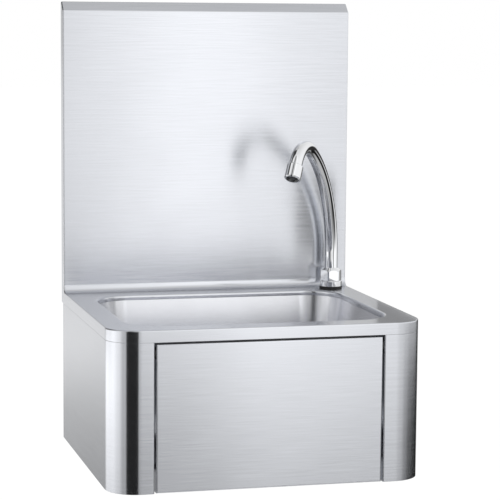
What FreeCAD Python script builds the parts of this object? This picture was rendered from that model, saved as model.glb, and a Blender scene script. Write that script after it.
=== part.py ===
import FreeCAD, Part
import math
import os

from FreeCAD import Vector

# Wall-hung hand wash sink of sheet stainless steel, worked by the knee.
# Millimetres. X runs to the right, Y into the wall, Z up.
# Heights are counted from the lower edge of the body while the pieces are made.
# The finished pieces are then lowered, so that the origin lies on the wall,
# in the middle of the four fixing holes.

# ---- body ----------------------------------------------------------------
body_width = 400.0
body_depth = 360.0
deck_height = 201.0
rim_height = 15.0
front_corner_radius = 39.0
sheet = 1.2
edge_radius = 1.5

# ---- splashback ----------------------------------------------------------
splash_stand_off = 17.0
splash_top_height = 594.0
splash_fold_drop = 12.0
splash_top_strip = 4.0
splash_foot_radius = 11.0
splash_fold_radius = 2.5

# ---- bowl: its mouth keeps these margins from the deck's edges ------------
bowl_side_margin = 32.0
bowl_front_margin = 33.0
bowl_splash_margin = 40.0
bowl_corner_radius = 48.0
bowl_roll_radius = 3.5
bowl_collar_depth = 7.0
bowl_floor_height = 78.0
bowl_wall_lean = 16.0
bowl_foot_radius = 24.0
drain_recess_radius = 42.0
drain_recess_depth = 4.0
drain_recess_slope = 4.0
drain_hole_radius = 24.0

# ---- side panels ---------------------------------------------------------
post_width = 54.5
side_rear_bend_radius = 12.0
side_rear_flange = 36.0
side_return_depth = 20.0
side_return_bend_radius = 2.0

# ---- wall fixing ---------------------------------------------------------
fixing_rim_drop = 36.0
fixing_side_margin = 22.5
fixing_spacing_z = 100.0
fixing_hole_radius = 4.5

# ---- rear rail -----------------------------------------------------------
rear_rail_end_gap = 14.0
rear_rail_height = 60.0
rear_rail_flange = 18.0
rail_bend_radius = 2.5

# ---- front rail ----------------------------------------------------------
front_rail_end_gap = 5.5
front_rail_setback = 24.0
front_rail_height = 30.0
front_rail_flange = 14.0

# ---- knee panel ----------------------------------------------------------
panel_side_gap = 2.25
panel_top_gap = 2.2
panel_foot_gap = 0.5
panel_fold_depth = 15.0
panel_edge_radius = 2.0
panel_travel_degrees = 5.0
hinge_drop = 11.8
hinge_setback = 9.0
hinge_pin_radius = 3.0
hinge_pin_inside = 4.0
hinge_head_radius = 5.5
hinge_head_length = 3.0
bush_wall = 1.5
bush_inner_length = 3.0
bush_flange_radius = 7.5
running_gap = 0.06
side_play = 0.25
panel_rib_height = 34.0
panel_rib_depth = 12.6
panel_rib_flange_gap = 0.5

# ---- knee valve ----------------------------------------------------------
valve_height = 42.0
valve_setback = 78.0
striker_radius = 12.0
striker_thickness = 3.0
rest_gap = 0.3
plunger_head_radius = 8.0
plunger_head_length = 4.0
plunger_dome_height = 1.4
plunger_rim_chamfer = 0.6
plunger_stem_radius = 5.0
plunger_stem_length = 40.0
valve_neck_radius = 10.0
valve_neck_setback = 38.0
valve_core_radius = 17.0
valve_core_front = 20.0
valve_core_back = 11.0
valve_chamber_radius = 14.0
valve_chamber_length = 92.0
valve_cap_radius = 11.0
valve_cap_length = 5.0
valve_bore_radius = 8.0
valve_cap_wall = 4.0
supply_spacing = 64.0
supply_thread_radius = 10.48
supply_thread_length = 15.0
supply_collar_width = 24.0
supply_collar_length = 7.0
supply_end_height = 7.0
supply_bore_radius = 7.5
outlet_thread_length = 12.0
valve_nut_width = 30.0
valve_nut_height = 6.0

# ---- valve bar -----------------------------------------------------------
valve_bar_height = 44.0
valve_bar_flange = 16.0
valve_bar_tab = 16.0
buffer_post_gap = 35.5
buffer_radius = 8.0
stop_pad_end_gap = 40.0
stop_pad_radius = 6.0
stop_pad_drop = 5.8

# ---- tap -----------------------------------------------------------------
tap_side_margin = 30.0
tap_from_wall = 46.0
tap_hole_radius = 11.0
tap_gasket_radius = 15.5
tap_gasket_height = 4.0
tap_base_radius = 15.3
tap_base_height = 7.5
tap_base_chamfer = 0.8
tap_thread_radius = 10.48
tap_thread_length = 45.0
tap_bore_radius = 6.0
tap_nut_width = 27.0
tap_nut_height = 13.5
tap_nut_shoulder = 4.5
tap_nut_top_radius = 10.4
tap_nut_corner_cut = 0.6
nut_corner_share = 0.56
deck_washer_radius = 16.0
deck_washer_thickness = 2.0
deck_nut_width = 30.0
deck_nut_height = 7.0

# ---- spout ---------------------------------------------------------------
spout_radius = 9.0
spout_wall = 1.3
spout_seat_depth = 4.5
spout_turn_degrees = 53.6
spout_stem_height = 49.5
spout_long_radius = 168.0
spout_long_degrees = 62.5
spout_tight_radius = 40.4
spout_tight_degrees = 85.6
spout_end_length = 10.0
aerator_radius = 11.0
aerator_length = 20.0
aerator_wall = 1.6
aerator_overlap = 6.0
aerator_chamfer = 1.2
aerator_lip = 0.8
insert_thickness = 5.0
insert_recess = 1.5
insert_hole_radius = 1.0
insert_ring_radius = 5.8
insert_ring_count = 9
seal_section = 1.1

# ---- waste ---------------------------------------------------------------
strainer_radius = 35.0
strainer_thickness = 2.2
strainer_edge_height = 0.8
strainer_edge_slope = 3.0
strainer_dish_radius = 18.0
strainer_dish_depth = 3.0
strainer_dish_slope = 3.5
strainer_hole_radius = 3.2
strainer_hole_circle = 12.5
strainer_hole_count = 8
strainer_sleeve_radius = 22.0
strainer_sleeve_wall = 2.0
strainer_sleeve_length = 9.0
waste_gasket_thickness = 3.0
waste_flange_radius = 33.0
waste_flange_thickness = 3.0
waste_cup_radius = 27.0
waste_neck_height = 44.0
waste_cone_height = 6.0
waste_collar_step = 1.0
waste_collar_height = 4.0
waste_thread_radius = 20.95
waste_thread_foot = 8.0
waste_wall = 3.0
waste_bridge_width = 8.0
waste_bridge_height = 6.0
waste_bridge_lift = 3.0
waste_screw_radius = 3.0
waste_screw_head_radius = 6.0
waste_screw_head_height = 2.5
waste_screw_end_lift = 1.0
screw_slot_width = 1.4
screw_slot_depth = 1.2

# ---- inner hose ----------------------------------------------------------
hose_radius = 6.0
hose_bend_radius = 48.0
hose_nut_width = 24.0
hose_nut_height = 16.0
nut_play = 0.1

# ---- how far a cut runs past the face it opens, and how near counts as on a face ----
clear_cut = 1.0
touch = 0.01

# ---- places that follow from the sizes above -----------------------------
wall_y = 0.0
half_width = body_width / 2.0
front_y = -body_depth
rim_foot = deck_height - rim_height
splash_y = -splash_stand_off
splash_fold_height = splash_top_height - splash_fold_drop
bowl_length = body_width - 2.0 * bowl_side_margin
bowl_width = body_depth - bowl_front_margin - bowl_splash_margin - splash_stand_off
bowl_y = front_y + bowl_front_margin + bowl_width / 2.0
half_opening = half_width - post_width
fixing_x = half_width - fixing_side_margin
fixing_height = rim_foot - fixing_rim_drop - fixing_spacing_z / 2.0
panel_half = half_opening - panel_side_gap
panel_top = rim_foot - panel_top_gap
hinge_y = front_y + hinge_setback
hinge_height = panel_top - hinge_drop
valve_y = front_y + valve_setback
tap_x = half_width - tap_side_margin
tap_y = -tap_from_wall


# ---- shape helpers -------------------------------------------------------
def on_plan(height):
    """Places a flat point (x, y) at one height."""
    return lambda u, v: Vector(u, v, height)


def on_section(across):
    """Places a flat point (y, z) at one distance across the body."""
    return lambda u, v: Vector(across, u, v)


def on_front(depth):
    """Places a flat point (x, z) at one distance along the body."""
    return lambda u, v: Vector(u, depth, v)


def unit(dx, dy):
    length = math.hypot(dx, dy)
    return dx / length, dy / length


def bent_line(points, radii, shift, place):
    """Edges of straight runs joined by arcs, moved to the left by shift.

    A radius belongs to each inner point, and one of 0 leaves the corner sharp.
    """
    runs = [unit(b[0] - a[0], b[1] - a[1]) for a, b in zip(points, points[1:])]
    sides = [(-uy, ux) for ux, uy in runs]
    corners = [(points[0][0] + shift * sides[0][0], points[0][1] + shift * sides[0][1])]
    for i in range(1, len(points) - 1):
        near, far = sides[i - 1], sides[i]
        k = shift / (1.0 + near[0] * far[0] + near[1] * far[1])
        corners.append((points[i][0] + k * (near[0] + far[0]), points[i][1] + k * (near[1] + far[1])))
    corners.append((points[-1][0] + shift * sides[-1][0], points[-1][1] + shift * sides[-1][1]))
    edges = []
    start = corners[0]
    for i in range(1, len(points) - 1):
        before, after = runs[i - 1], runs[i]
        turn = before[0] * after[1] - before[1] * after[0]
        swing = math.acos(before[0] * after[0] + before[1] * after[1])
        radius = radii[i - 1] - math.copysign(shift, turn) * (1.0 if radii[i - 1] else 0.0)
        corner = corners[i]
        if radius <= 0.0:
            edges.append(Part.LineSegment(place(*start), place(*corner)).toShape())
            start = corner
            continue
        reach = radius * math.tan(swing / 2.0)
        first = (corner[0] - reach * before[0], corner[1] - reach * before[1])
        last = (corner[0] + reach * after[0], corner[1] + reach * after[1])
        inward = math.copysign(1.0, turn)
        reach_in = inward * radius
        middle = (first[0] + reach_in * sides[i - 1][0], first[1] + reach_in * sides[i - 1][1])
        out = unit(corner[0] - middle[0], corner[1] - middle[1])
        crown = (middle[0] + radius * out[0], middle[1] + radius * out[1])
        edges.append(Part.LineSegment(place(*start), place(*first)).toShape())
        edges.append(Part.Arc(place(*first), place(*crown), place(*last)).toShape())
        start = last
    edges.append(Part.LineSegment(place(*start), place(*corners[-1])).toShape())
    return edges


def closed_face(edges, extra_points, place):
    """Closes a run of edges through further points into a face."""
    start = edges[0].Vertexes[0].Point
    end = edges[-1].Vertexes[-1].Point
    chain = [end] + [place(*p) for p in extra_points] + [start]
    links = [Part.LineSegment(a, b).toShape() for a, b in zip(chain, chain[1:])]
    return Part.Face(Part.Wire(Part.__sortEdges__(edges + links)))


def bent_sheet(points, radii, thickness, place, along):
    """A folded sheet: its flat section is drawn, then pulled along a vector."""
    near = bent_line(points, radii, 0.0, place)
    far = bent_line(points, radii, thickness, place)
    caps = [
        Part.LineSegment(near[0].Vertexes[0].Point, far[0].Vertexes[0].Point).toShape(),
        Part.LineSegment(near[-1].Vertexes[-1].Point, far[-1].Vertexes[-1].Point).toShape(),
    ]
    face = Part.Face(Part.Wire(Part.__sortEdges__(near + far + caps)))
    return face.extrude(along)


def rounded_wire(length, breadth, radius, x, y, z):
    """A rectangle with round corners, about (x, y) at height z."""
    a = length / 2.0
    b = breadth / 2.0
    s = radius * (1.0 - math.sqrt(0.5))
    place = on_plan(z)
    marks = [
        ((x + a, y - b + radius), (x + a, y + b - radius), (x + a - s, y + b - s), (x + a - radius, y + b)),
        ((x + a - radius, y + b), (x - a + radius, y + b), (x - a + s, y + b - s), (x - a, y + b - radius)),
        ((x - a, y + b - radius), (x - a, y - b + radius), (x - a + s, y - b + s), (x - a + radius, y - b)),
        ((x - a + radius, y - b), (x + a - radius, y - b), (x + a - s, y - b + s), (x + a, y - b + radius)),
    ]
    edges = []
    for first, last, crown, end in marks:
        edges.append(Part.LineSegment(place(*first), place(*last)).toShape())
        edges.append(Part.Arc(place(*last), place(*crown), place(*end)).toShape())
    return Part.Wire(edges)


def rounded_block(length, breadth, radius, x, y, low, high):
    face = Part.Face(rounded_wire(length, breadth, radius, x, y, low))
    return face.extrude(Vector(0, 0, high - low))


def block(x0, x1, y0, y1, z0, z1):
    return Part.makeBox(x1 - x0, y1 - y0, z1 - z0, Vector(x0, y0, z0))


def rod(radius, base, along):
    return Part.makeCylinder(radius, along.Length, base, along)


def tube(outer, inner, base, along):
    """A tube whose bore runs clear through both ends."""
    past = Vector(along).normalize()
    return rod(outer, base, along).cut(rod(inner, base - past, along + 2.0 * past))


def hexagon(width, base, along, corner_radius=0.0):
    """A six-sided bar, of a width across flats, with its corners turned off."""
    outer = width / math.sqrt(3.0)
    angles = [math.radians(60 * k) for k in range(7)]
    points = [Vector(outer * math.cos(a), outer * math.sin(a), 0) for a in angles]
    bar = Part.Face(Part.makePolygon(points)).extrude(Vector(0, 0, along.Length))
    if corner_radius:
        bar = bar.common(rod(corner_radius, Vector(0, 0, 0), Vector(0, 0, along.Length)))
    turn = FreeCAD.Rotation(Vector(0, 0, 1), along)
    bar.Placement = FreeCAD.Placement(base, turn)
    return bar


def turned(profile, base, along):
    """Turns a closed (radius, length) profile about its own axis, laid along a vector."""
    points = [Vector(r, 0, h) for r, h in profile]
    face = Part.Face(Part.makePolygon(points + points[:1]))
    solid = face.revolve(Vector(0, 0, 0), Vector(0, 0, 1), 360)
    solid.Placement = FreeCAD.Placement(base, FreeCAD.Rotation(Vector(0, 0, 1), along))
    return solid


def mirrored(shape):
    return shape.mirror(Vector(0, 0, 0), Vector(1, 0, 0))


def edges_where(shape, test):
    """Edges of a shape whose every sampled point passes a test."""
    found = []
    for edge in shape.Edges:
        first, last = edge.FirstParameter, edge.LastParameter
        samples = [edge.valueAt(first + (last - first) * k / 4.0) for k in range(5)]
        if all(test(p) for p in samples):
            found.append(edge)
    return found


def line_with_bends(points, radius):
    """Edges of straight runs in space, joined by tangent arcs of one radius."""
    edges = []
    start = points[0]
    for before, corner, after in zip(points, points[1:], points[2:]):
        u = (corner - before).normalize()
        v = (after - corner).normalize()
        swing = u.getAngle(v)
        reach = radius * math.tan(swing / 2.0)
        first = corner - u * reach
        last = corner + v * reach
        inward = (v - u).normalize()
        centre = corner + inward * (radius / math.cos(swing / 2.0))
        crown = centre - inward * radius
        edges.append(Part.LineSegment(start, first).toShape())
        edges.append(Part.Arc(first, crown, last).toShape())
        start = last
    edges.append(Part.LineSegment(start, points[-1]).toShape())
    return edges


def bar_along(edges, radius):
    """A round bar along tangent lines and arcs: a cylinder on a line, a ring piece on an arc."""
    pieces = []
    for edge in edges:
        start = edge.valueAt(edge.FirstParameter)
        heading = edge.tangentAt(edge.FirstParameter)
        disc = Part.Face(Part.Wire(Part.Circle(start, heading, radius).toShape()))
        if isinstance(edge.Curve, Part.Circle):
            swing = math.degrees(edge.LastParameter - edge.FirstParameter)
            pieces.append(disc.revolve(edge.Curve.Center, edge.Curve.Axis, swing))
        else:
            pieces.append(disc.extrude(edge.valueAt(edge.LastParameter) - start))
    return pieces[0].fuse(pieces[1:])


# ---- top sheet: splashback, deck and rim ---------------------------------
visible_section = [
    (front_y, rim_foot),
    (front_y, deck_height),
    (splash_y, deck_height),
    (splash_y, splash_fold_height),
    (-splash_top_strip, splash_top_height),
    (wall_y, splash_top_height),
]
section_radii = [0.0, splash_foot_radius, splash_fold_radius, splash_fold_radius]
past_wall = 5.0


def plan_block(inset, low, high):
    """The body's plan with its two round front corners, pulled up."""
    edge = half_width - inset
    points = [
        (-edge, past_wall),
        (-edge, front_y + inset),
        (edge, front_y + inset),
        (edge, past_wall),
    ]
    radius = front_corner_radius - inset
    outline = bent_line(points, [radius, radius], 0.0, on_plan(low))
    return closed_face(outline, [], on_plan(low)).extrude(Vector(0, 0, high - low))


def top_sheet_hull():
    """The space filled out to the visible skin, with its long edges eased."""
    place = on_section(-half_width)
    edges = bent_line(visible_section, section_radii, 0.0, place)
    solid = closed_face(edges, [(wall_y, rim_foot)], place).extrude(Vector(body_width, 0, 0))
    solid = solid.common(plan_block(0.0, rim_foot, splash_top_height))

    def on_skin(p):
        outside = abs(p.x) > half_width - touch or p.y < front_y + front_corner_radius + touch
        above = p.z > deck_height - touch
        if not (outside and above):
            return False
        if p.z > splash_top_height - touch:
            return p.y < -touch or abs(p.x) > half_width - touch
        return p.y < -touch
    rounded = [e for e in edges_where(solid, on_skin) if not is_across(e)]
    solid = solid.makeFillet(edge_radius, rounded)
    mouth = rounded_block(
        bowl_length, bowl_width, bowl_corner_radius, 0.0, bowl_y, rim_foot, deck_height + clear_cut)
    solid = solid.cut(mouth)

    def on_mouth(p):
        inside_x = abs(p.x) < bowl_length / 2.0 + touch
        inside_y = abs(p.y - bowl_y) < bowl_width / 2.0 + touch
        return abs(p.z - deck_height) < touch and inside_x and inside_y
    return solid.makeFillet(bowl_roll_radius, edges_where(solid, on_mouth))


def is_across(edge):
    """True for a straight fold line that runs from side to side over the splashback."""
    ends = [v.Point for v in edge.Vertexes]
    if len(ends) < 2:
        return False
    level = abs(ends[0].z - ends[1].z) < touch and abs(ends[0].y - ends[1].y) < touch
    return level and ends[0].y > front_y + front_corner_radius


def top_sheet_hollow():
    """The space under the sheet, one wall in from the visible skin."""
    place = on_section(-half_width)
    edges = bent_line(visible_section, section_radii, -sheet, place)
    below = rim_foot - past_wall
    closing = [(past_wall, splash_top_height - sheet), (past_wall, below), (front_y + sheet, below)]
    hollow = closed_face(edges, closing, place).extrude(Vector(body_width, 0, 0))
    hollow = hollow.common(plan_block(sheet, below, splash_top_height))
    collar = rounded_block(
        bowl_length + 2.0 * sheet, bowl_width + 2.0 * sheet, bowl_corner_radius + sheet,
        0.0, bowl_y, deck_height - bowl_collar_depth, deck_height + clear_cut)
    hollow = hollow.cut(collar)

    def on_roll(p):
        inside_x = abs(p.x) < bowl_length / 2.0 + sheet + touch
        inside_y = abs(p.y - bowl_y) < bowl_width / 2.0 + sheet + touch
        return abs(p.z - (deck_height - sheet)) < touch and inside_x and inside_y
    return hollow.makeFillet(bowl_roll_radius + sheet, edges_where(hollow, on_roll))


def make_top_sheet():
    solid = top_sheet_hull().cut(top_sheet_hollow())
    hole = rod(tap_hole_radius, Vector(tap_x, tap_y, deck_height - 2.0 * sheet), Vector(0, 0, 4.0 * sheet))
    return solid.cut(hole)


# ---- bowl ----------------------------------------------------------------
def pan_section(middle, half, foot, top, round_foot, place):
    """Flat face across a pan: both walls lean out from a floor with round feet."""
    points = [
        (middle - half, top),
        (middle - half + bowl_wall_lean, foot),
        (middle + half - bowl_wall_lean, foot),
        (middle + half, top),
    ]
    return closed_face(bent_line(points, [round_foot, round_foot], 0.0, place), [], place)


def bowl_space(outset):
    """The bowl's space, grown on every side by outset, under the deck's collar.

    One wall section is pulled straight along both pairs of sides and turned at the
    four corners. The drain recess is a cone below the floor.
    """
    top = deck_height - bowl_collar_depth
    foot = bowl_floor_height - outset
    corner = bowl_corner_radius + outset
    round_foot = bowl_foot_radius + outset
    flat_x = bowl_length / 2.0 + outset - corner
    flat_y = bowl_width / 2.0 + outset - corner
    near_y = bowl_y - flat_y
    far_y = bowl_y + flat_y
    across = pan_section(0.0, flat_x + corner, foot, top, round_foot, on_front(near_y))
    along = pan_section(bowl_y, flat_y + corner, foot, top, round_foot, on_section(-flat_x))
    solids = [across.extrude(Vector(0, far_y - near_y, 0)), along.extrude(Vector(2.0 * flat_x, 0, 0))]
    for x, y in ((-flat_x, near_y), (flat_x, near_y), (flat_x, far_y), (-flat_x, far_y)):
        place = on_front(y)
        points = [(x, foot), (x + corner - bowl_wall_lean, foot), (x + corner, top)]
        wall = bent_line(points, [round_foot], 0.0, place)
        solids.append(closed_face(wall, [(x, top)], place).revolve(Vector(x, y, 0), Vector(0, 0, 1), 360))
    recess = Part.makeCone(
        drain_recess_radius - drain_recess_slope + outset, drain_recess_radius + outset,
        drain_recess_depth, Vector(0, bowl_y, foot - drain_recess_depth))
    return solids[0].fuse(solids[1:] + [recess]).removeSplitter()


def make_bowl():
    bowl = bowl_space(sheet).cut(bowl_space(0.0))
    foot = bowl_floor_height - drain_recess_depth - 2.0 * sheet
    hole = rod(drain_hole_radius, Vector(0, bowl_y, foot), Vector(0, 0, 4.0 * sheet))
    return bowl.cut(hole)


# ---- side panels ---------------------------------------------------------
def make_side_panel():
    """Left side: wall flange, side, round front corner and the return behind the post."""
    points = [
        (-half_width + side_rear_flange, wall_y),
        (-half_width, wall_y),
        (-half_width, front_y),
        (-half_opening, front_y),
        (-half_opening, front_y + side_return_depth),
    ]
    radii = [side_rear_bend_radius, front_corner_radius, side_return_bend_radius]
    panel = bent_sheet(points, radii, sheet, on_plan(0.0), Vector(0, 0, rim_foot))
    for z in fixing_levels():
        panel = panel.cut(fixing_hole(-fixing_x, z))
    bore = hinge_pin_radius + running_gap
    start = Vector(-half_opening - 2.0 * sheet, hinge_y, hinge_height)
    return panel.cut(rod(bore, start, Vector(4.0 * sheet, 0, 0)))


def fixing_levels():
    half = fixing_spacing_z / 2.0
    return [fixing_height - half, fixing_height + half]


def fixing_hole(x, z):
    return rod(fixing_hole_radius, Vector(x, wall_y - 4.0 * sheet, z), Vector(0, 8.0 * sheet, 0))


def make_rear_rail():
    """Channel across the back, laid on both wall flanges below the deck."""
    top = rim_foot
    foot = top - rear_rail_height
    web = wall_y - sheet
    half = half_width - rear_rail_end_gap
    points = [(web - rear_rail_flange, top), (web, top), (web, foot), (web - rear_rail_flange, foot)]
    rail = bent_sheet(points, [rail_bend_radius, rail_bend_radius], -sheet,
                      on_section(-half), Vector(2.0 * half, 0, 0))
    for side in (-1, 1):
        rail = rail.cut(fixing_hole(side * fixing_x, fixing_levels()[1]))
    return rail


rail_y = front_y + front_rail_setback
half_rail = half_opening - front_rail_end_gap


def make_front_rail():
    """Angle under the deck, behind the rim, that the panel's stops sit on."""
    top = deck_height - sheet
    points = [(rail_y - front_rail_flange, top), (rail_y, top), (rail_y, top - front_rail_height)]
    return bent_sheet(points, [rail_bend_radius], -sheet,
                      on_section(-half_rail), Vector(2.0 * half_rail, 0, 0))


# ---- knee panel ----------------------------------------------------------
panel_back = front_y + panel_fold_depth
rib_back = front_y + sheet + panel_rib_depth
bush_radius = hinge_pin_radius + running_gap + bush_wall


def make_knee_panel():
    """Front tray: a flat face folded back on all four sides."""
    outer = block(-panel_half, panel_half, front_y, panel_back, panel_foot_gap, panel_top)
    front_edges = edges_where(outer, lambda p: abs(p.y - front_y) < touch)
    outer = outer.makeFillet(panel_edge_radius, front_edges)
    inner = block(-panel_half + sheet, panel_half - sheet, front_y + sheet, panel_back + clear_cut,
                  panel_foot_gap + sheet, panel_top - sheet)
    panel = outer.cut(inner)
    for side in (-1, 1):
        start = Vector(side * (panel_half - 2.0 * sheet), hinge_y, hinge_height)
        panel = panel.cut(rod(bush_radius + running_gap, start, Vector(side * 4.0 * sheet, 0, 0)))
    return panel


def make_panel_rib():
    """Channel on the back of the panel, at the height of the valve."""
    low = valve_height - panel_rib_height / 2.0
    high = low + panel_rib_height
    face = front_y + sheet
    points = [(face, low), (rib_back, low), (rib_back, high), (face, high)]
    half = panel_half - sheet - panel_rib_flange_gap
    return bent_sheet(points, [rail_bend_radius, rail_bend_radius], sheet,
                      on_section(-half), Vector(2.0 * half, 0, 0))


def make_striker_pad():
    return rod(striker_radius, Vector(0, rib_back, valve_height), Vector(0, striker_thickness, 0))


def make_hinge_pin():
    """Left shoulder pin: head behind the post, shank through the bush."""
    head_x = -half_opening - sheet
    tip_x = -panel_half + sheet + hinge_pin_inside
    shank = rod(hinge_pin_radius, Vector(head_x, hinge_y, hinge_height), Vector(tip_x - head_x, 0, 0))
    head = rod(hinge_head_radius, Vector(head_x, hinge_y, hinge_height), Vector(-hinge_head_length, 0, 0))
    return shank.fuse(head).removeSplitter()


def make_hinge_bush():
    """Left bush in the panel's fold, with a flange that keeps the side gap."""
    outside_x = -half_opening + side_play
    face_x = -panel_half
    inside_x = face_x + bush_inner_length
    outside = Vector(outside_x, hinge_y, hinge_height)
    past = Vector(clear_cut, 0, 0)
    flange = rod(bush_flange_radius, outside, Vector(face_x - outside_x, 0, 0))
    sleeve = rod(bush_radius, outside, Vector(inside_x - outside_x, 0, 0))
    bore = rod(hinge_pin_radius + running_gap, outside - past, Vector(inside_x - outside_x, 0, 0) + past * 2.0)
    return flange.fuse(sleeve).cut(bore)


def make_stop_pad():
    """Left rubber pad on the front rail; the panel's top fold rests against it."""
    back = rail_y - sheet
    front = panel_back + rest_gap
    place = Vector(stop_pad_end_gap - half_rail, back, panel_top - stop_pad_drop)
    return rod(stop_pad_radius, place, Vector(0, front - back, 0))


# ---- valve bar and knee valve --------------------------------------------
travel = math.radians(panel_travel_degrees)
valve_drop = hinge_height - valve_height
plunger_stroke = valve_drop * travel
bar_web_front = valve_y - valve_core_front - sheet
plunger_tip = rib_back + striker_thickness + rest_gap
up = Vector(0, 0, 1)


def make_valve_bar():
    """Channel open to the front that carries the valve, welded to the sides by its end tabs."""
    low = valve_height - valve_bar_height / 2.0
    high = low + valve_bar_height
    inside = half_width - sheet
    back = bar_web_front + sheet
    front = back - valve_bar_flange
    points = [(front, low), (back, low), (back, high), (front, high)]
    bar = bent_sheet(points, [rail_bend_radius, rail_bend_radius], sheet,
                     on_section(-inside + sheet), Vector(2.0 * (inside - sheet), 0, 0))
    for side in (-1, 1):
        x0, x1 = sorted([side * inside, side * (inside - sheet)])
        tab = block(x0, x1, front, back + valve_bar_tab, low, high)
        bar = bar.fuse(tab)
    neck = valve_neck_radius + rest_gap
    hole = rod(neck, Vector(0, bar_web_front - sheet, valve_height), Vector(0, 3.0 * sheet, 0))
    return bar.cut(hole).removeSplitter()


def make_buffer():
    """Left rubber buffer on the valve bar, which ends the panel's travel."""
    sink = (rib_back - hinge_y) * (1.0 - math.cos(travel))
    reach = rib_back - sink + valve_drop * math.sin(travel)
    lean = buffer_radius * math.sin(travel)
    tip = reach + lean + rest_gap
    place = Vector(buffer_post_gap - half_opening, tip, valve_height)
    return rod(buffer_radius, place, Vector(0, bar_web_front - tip, 0))


def make_valve_body():
    """Cast brass body: neck to the front, cross chamber, two supplies down, outlet right."""
    centre = Vector(0, valve_y, valve_height)
    neck_y = front_y + valve_neck_setback
    half = valve_chamber_length / 2.0
    body = rod(valve_core_radius, Vector(0, valve_y - valve_core_front, valve_height),
               Vector(0, valve_core_front + valve_core_back, 0))
    neck = rod(valve_neck_radius, Vector(0, neck_y, valve_height), Vector(0, valve_y - neck_y, 0))
    body = body.fuse(neck)
    body = body.fuse(rod(valve_chamber_radius, centre - Vector(half, 0, 0), Vector(2.0 * half, 0, 0)))
    cap_start = centre - Vector(half + valve_cap_length, 0, 0)
    body = body.fuse(rod(valve_cap_radius, cap_start, Vector(valve_cap_length, 0, 0)))
    outlet = Vector(outlet_thread_length, 0, 0)
    body = body.fuse(rod(supply_thread_radius, centre + Vector(half, 0, 0), outlet))
    collar_foot = supply_end_height + supply_thread_length
    for side in (-1, 1):
        foot = Vector(side * supply_spacing / 2.0, valve_y, supply_end_height)
        thread = rod(supply_thread_radius, foot, up * (valve_height - supply_end_height))
        collar_start = Vector(foot.x, valve_y, collar_foot)
        collar = hexagon(supply_collar_width, collar_start, up * supply_collar_length)
        body = body.fuse([thread, collar])
    bore_length = 2.0 * half - valve_cap_wall + outlet_thread_length + clear_cut
    bore_start = centre - Vector(half - valve_cap_wall, 0, 0)
    body = body.cut(rod(valve_bore_radius, bore_start, Vector(bore_length, 0, 0)))
    for side in (-1, 1):
        x = side * supply_spacing / 2.0
        body = body.cut(rod(supply_bore_radius, Vector(x, valve_y, 0), up * valve_height))
    stem_bore = plunger_stem_radius + running_gap
    stem_start = Vector(0, neck_y - clear_cut, valve_height)
    body = body.cut(rod(stem_bore, stem_start, Vector(0, valve_y - neck_y, 0)))
    return body.removeSplitter()


def make_valve_nut():
    """Back nut that clamps the valve's neck to the bar."""
    start = Vector(0, bar_web_front, valve_height)
    along = Vector(0, -valve_nut_height, 0)
    nut = hexagon(valve_nut_width, start, along, valve_nut_width * nut_corner_share)
    past = Vector(0, clear_cut, 0)
    return nut.cut(rod(valve_neck_radius + nut_play, start + past, along - past * 2.0))


def make_plunger():
    """Push rod with a domed head, which the striker pad drives into the neck."""
    place = on_plan(valve_height)
    tip = plunger_tip
    shoulder = tip + plunger_head_length
    end = shoulder + plunger_stem_length
    head_radius = plunger_head_radius
    dome_radius = (head_radius ** 2 + plunger_dome_height ** 2) / (2.0 * plunger_dome_height)
    half_lean = math.asin(head_radius / dome_radius) / 2.0
    crown_x = dome_radius * math.sin(half_lean)
    crown_y = tip + dome_radius * (1.0 - math.cos(half_lean))
    brim = (head_radius, tip + plunger_dome_height)
    dome = Part.Arc(place(0.0, tip), place(crown_x, crown_y), place(*brim)).toShape()
    outline = [
        brim,
        (head_radius, shoulder - plunger_rim_chamfer),
        (head_radius - plunger_rim_chamfer, shoulder),
        (plunger_stem_radius, shoulder),
        (plunger_stem_radius, end),
        (0.0, end),
        (0.0, tip),
    ]
    sides = [Part.LineSegment(place(*a), place(*b)).toShape() for a, b in zip(outline, outline[1:])]
    section = Part.Face(Part.Wire([dome] + sides))
    return section.revolve(place(0.0, tip), Vector(0, 1, 0), 360)


# ---- tap -----------------------------------------------------------------
gasket_top = deck_height + tap_gasket_height
base_top = gasket_top + tap_base_height
nut_top = base_top + tap_nut_height


def tap_point(height):
    return Vector(tap_x, tap_y, height)


def make_tap_gasket():
    bore = tap_thread_radius + nut_play
    return tube(tap_gasket_radius, bore, tap_point(deck_height), up * tap_gasket_height)


def make_tap_shank():
    """Flanged stud: base ring on the gasket, thread down through the deck, seat for the spout."""
    foot = deck_height - tap_thread_length
    seat = spout_radius + running_gap
    profile = [
        (tap_bore_radius, foot),
        (tap_thread_radius, foot),
        (tap_thread_radius, gasket_top),
        (tap_base_radius, gasket_top),
        (tap_base_radius, base_top - tap_base_chamfer),
        (tap_base_radius - tap_base_chamfer, base_top),
        (seat, base_top),
        (seat, base_top - spout_seat_depth),
        (tap_bore_radius, base_top - spout_seat_depth),
    ]
    return turned(profile, Vector(tap_x, tap_y, 0), up)


def make_tap_nut():
    """Six-sided gland nut with its top turned down to a shoulder round the spout."""
    height = tap_nut_height + tap_nut_shoulder
    nut = hexagon(tap_nut_width, tap_point(base_top), up * height)
    corner = tap_nut_width / math.sqrt(3.0) - tap_nut_corner_cut
    profile = [
        (0.0, base_top),
        (corner, base_top),
        (corner, nut_top),
        (tap_nut_top_radius, nut_top + tap_nut_shoulder),
        (0.0, nut_top + tap_nut_shoulder),
    ]
    nut = nut.common(turned(profile, Vector(tap_x, tap_y, 0), up))
    start = tap_point(base_top - clear_cut)
    return nut.cut(rod(spout_radius + running_gap, start, up * (height + 2.0 * clear_cut)))


def make_deck_washer():
    foot = deck_height - sheet - deck_washer_thickness
    bore = tap_thread_radius + nut_play
    return tube(deck_washer_radius, bore, tap_point(foot), up * deck_washer_thickness)


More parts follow.
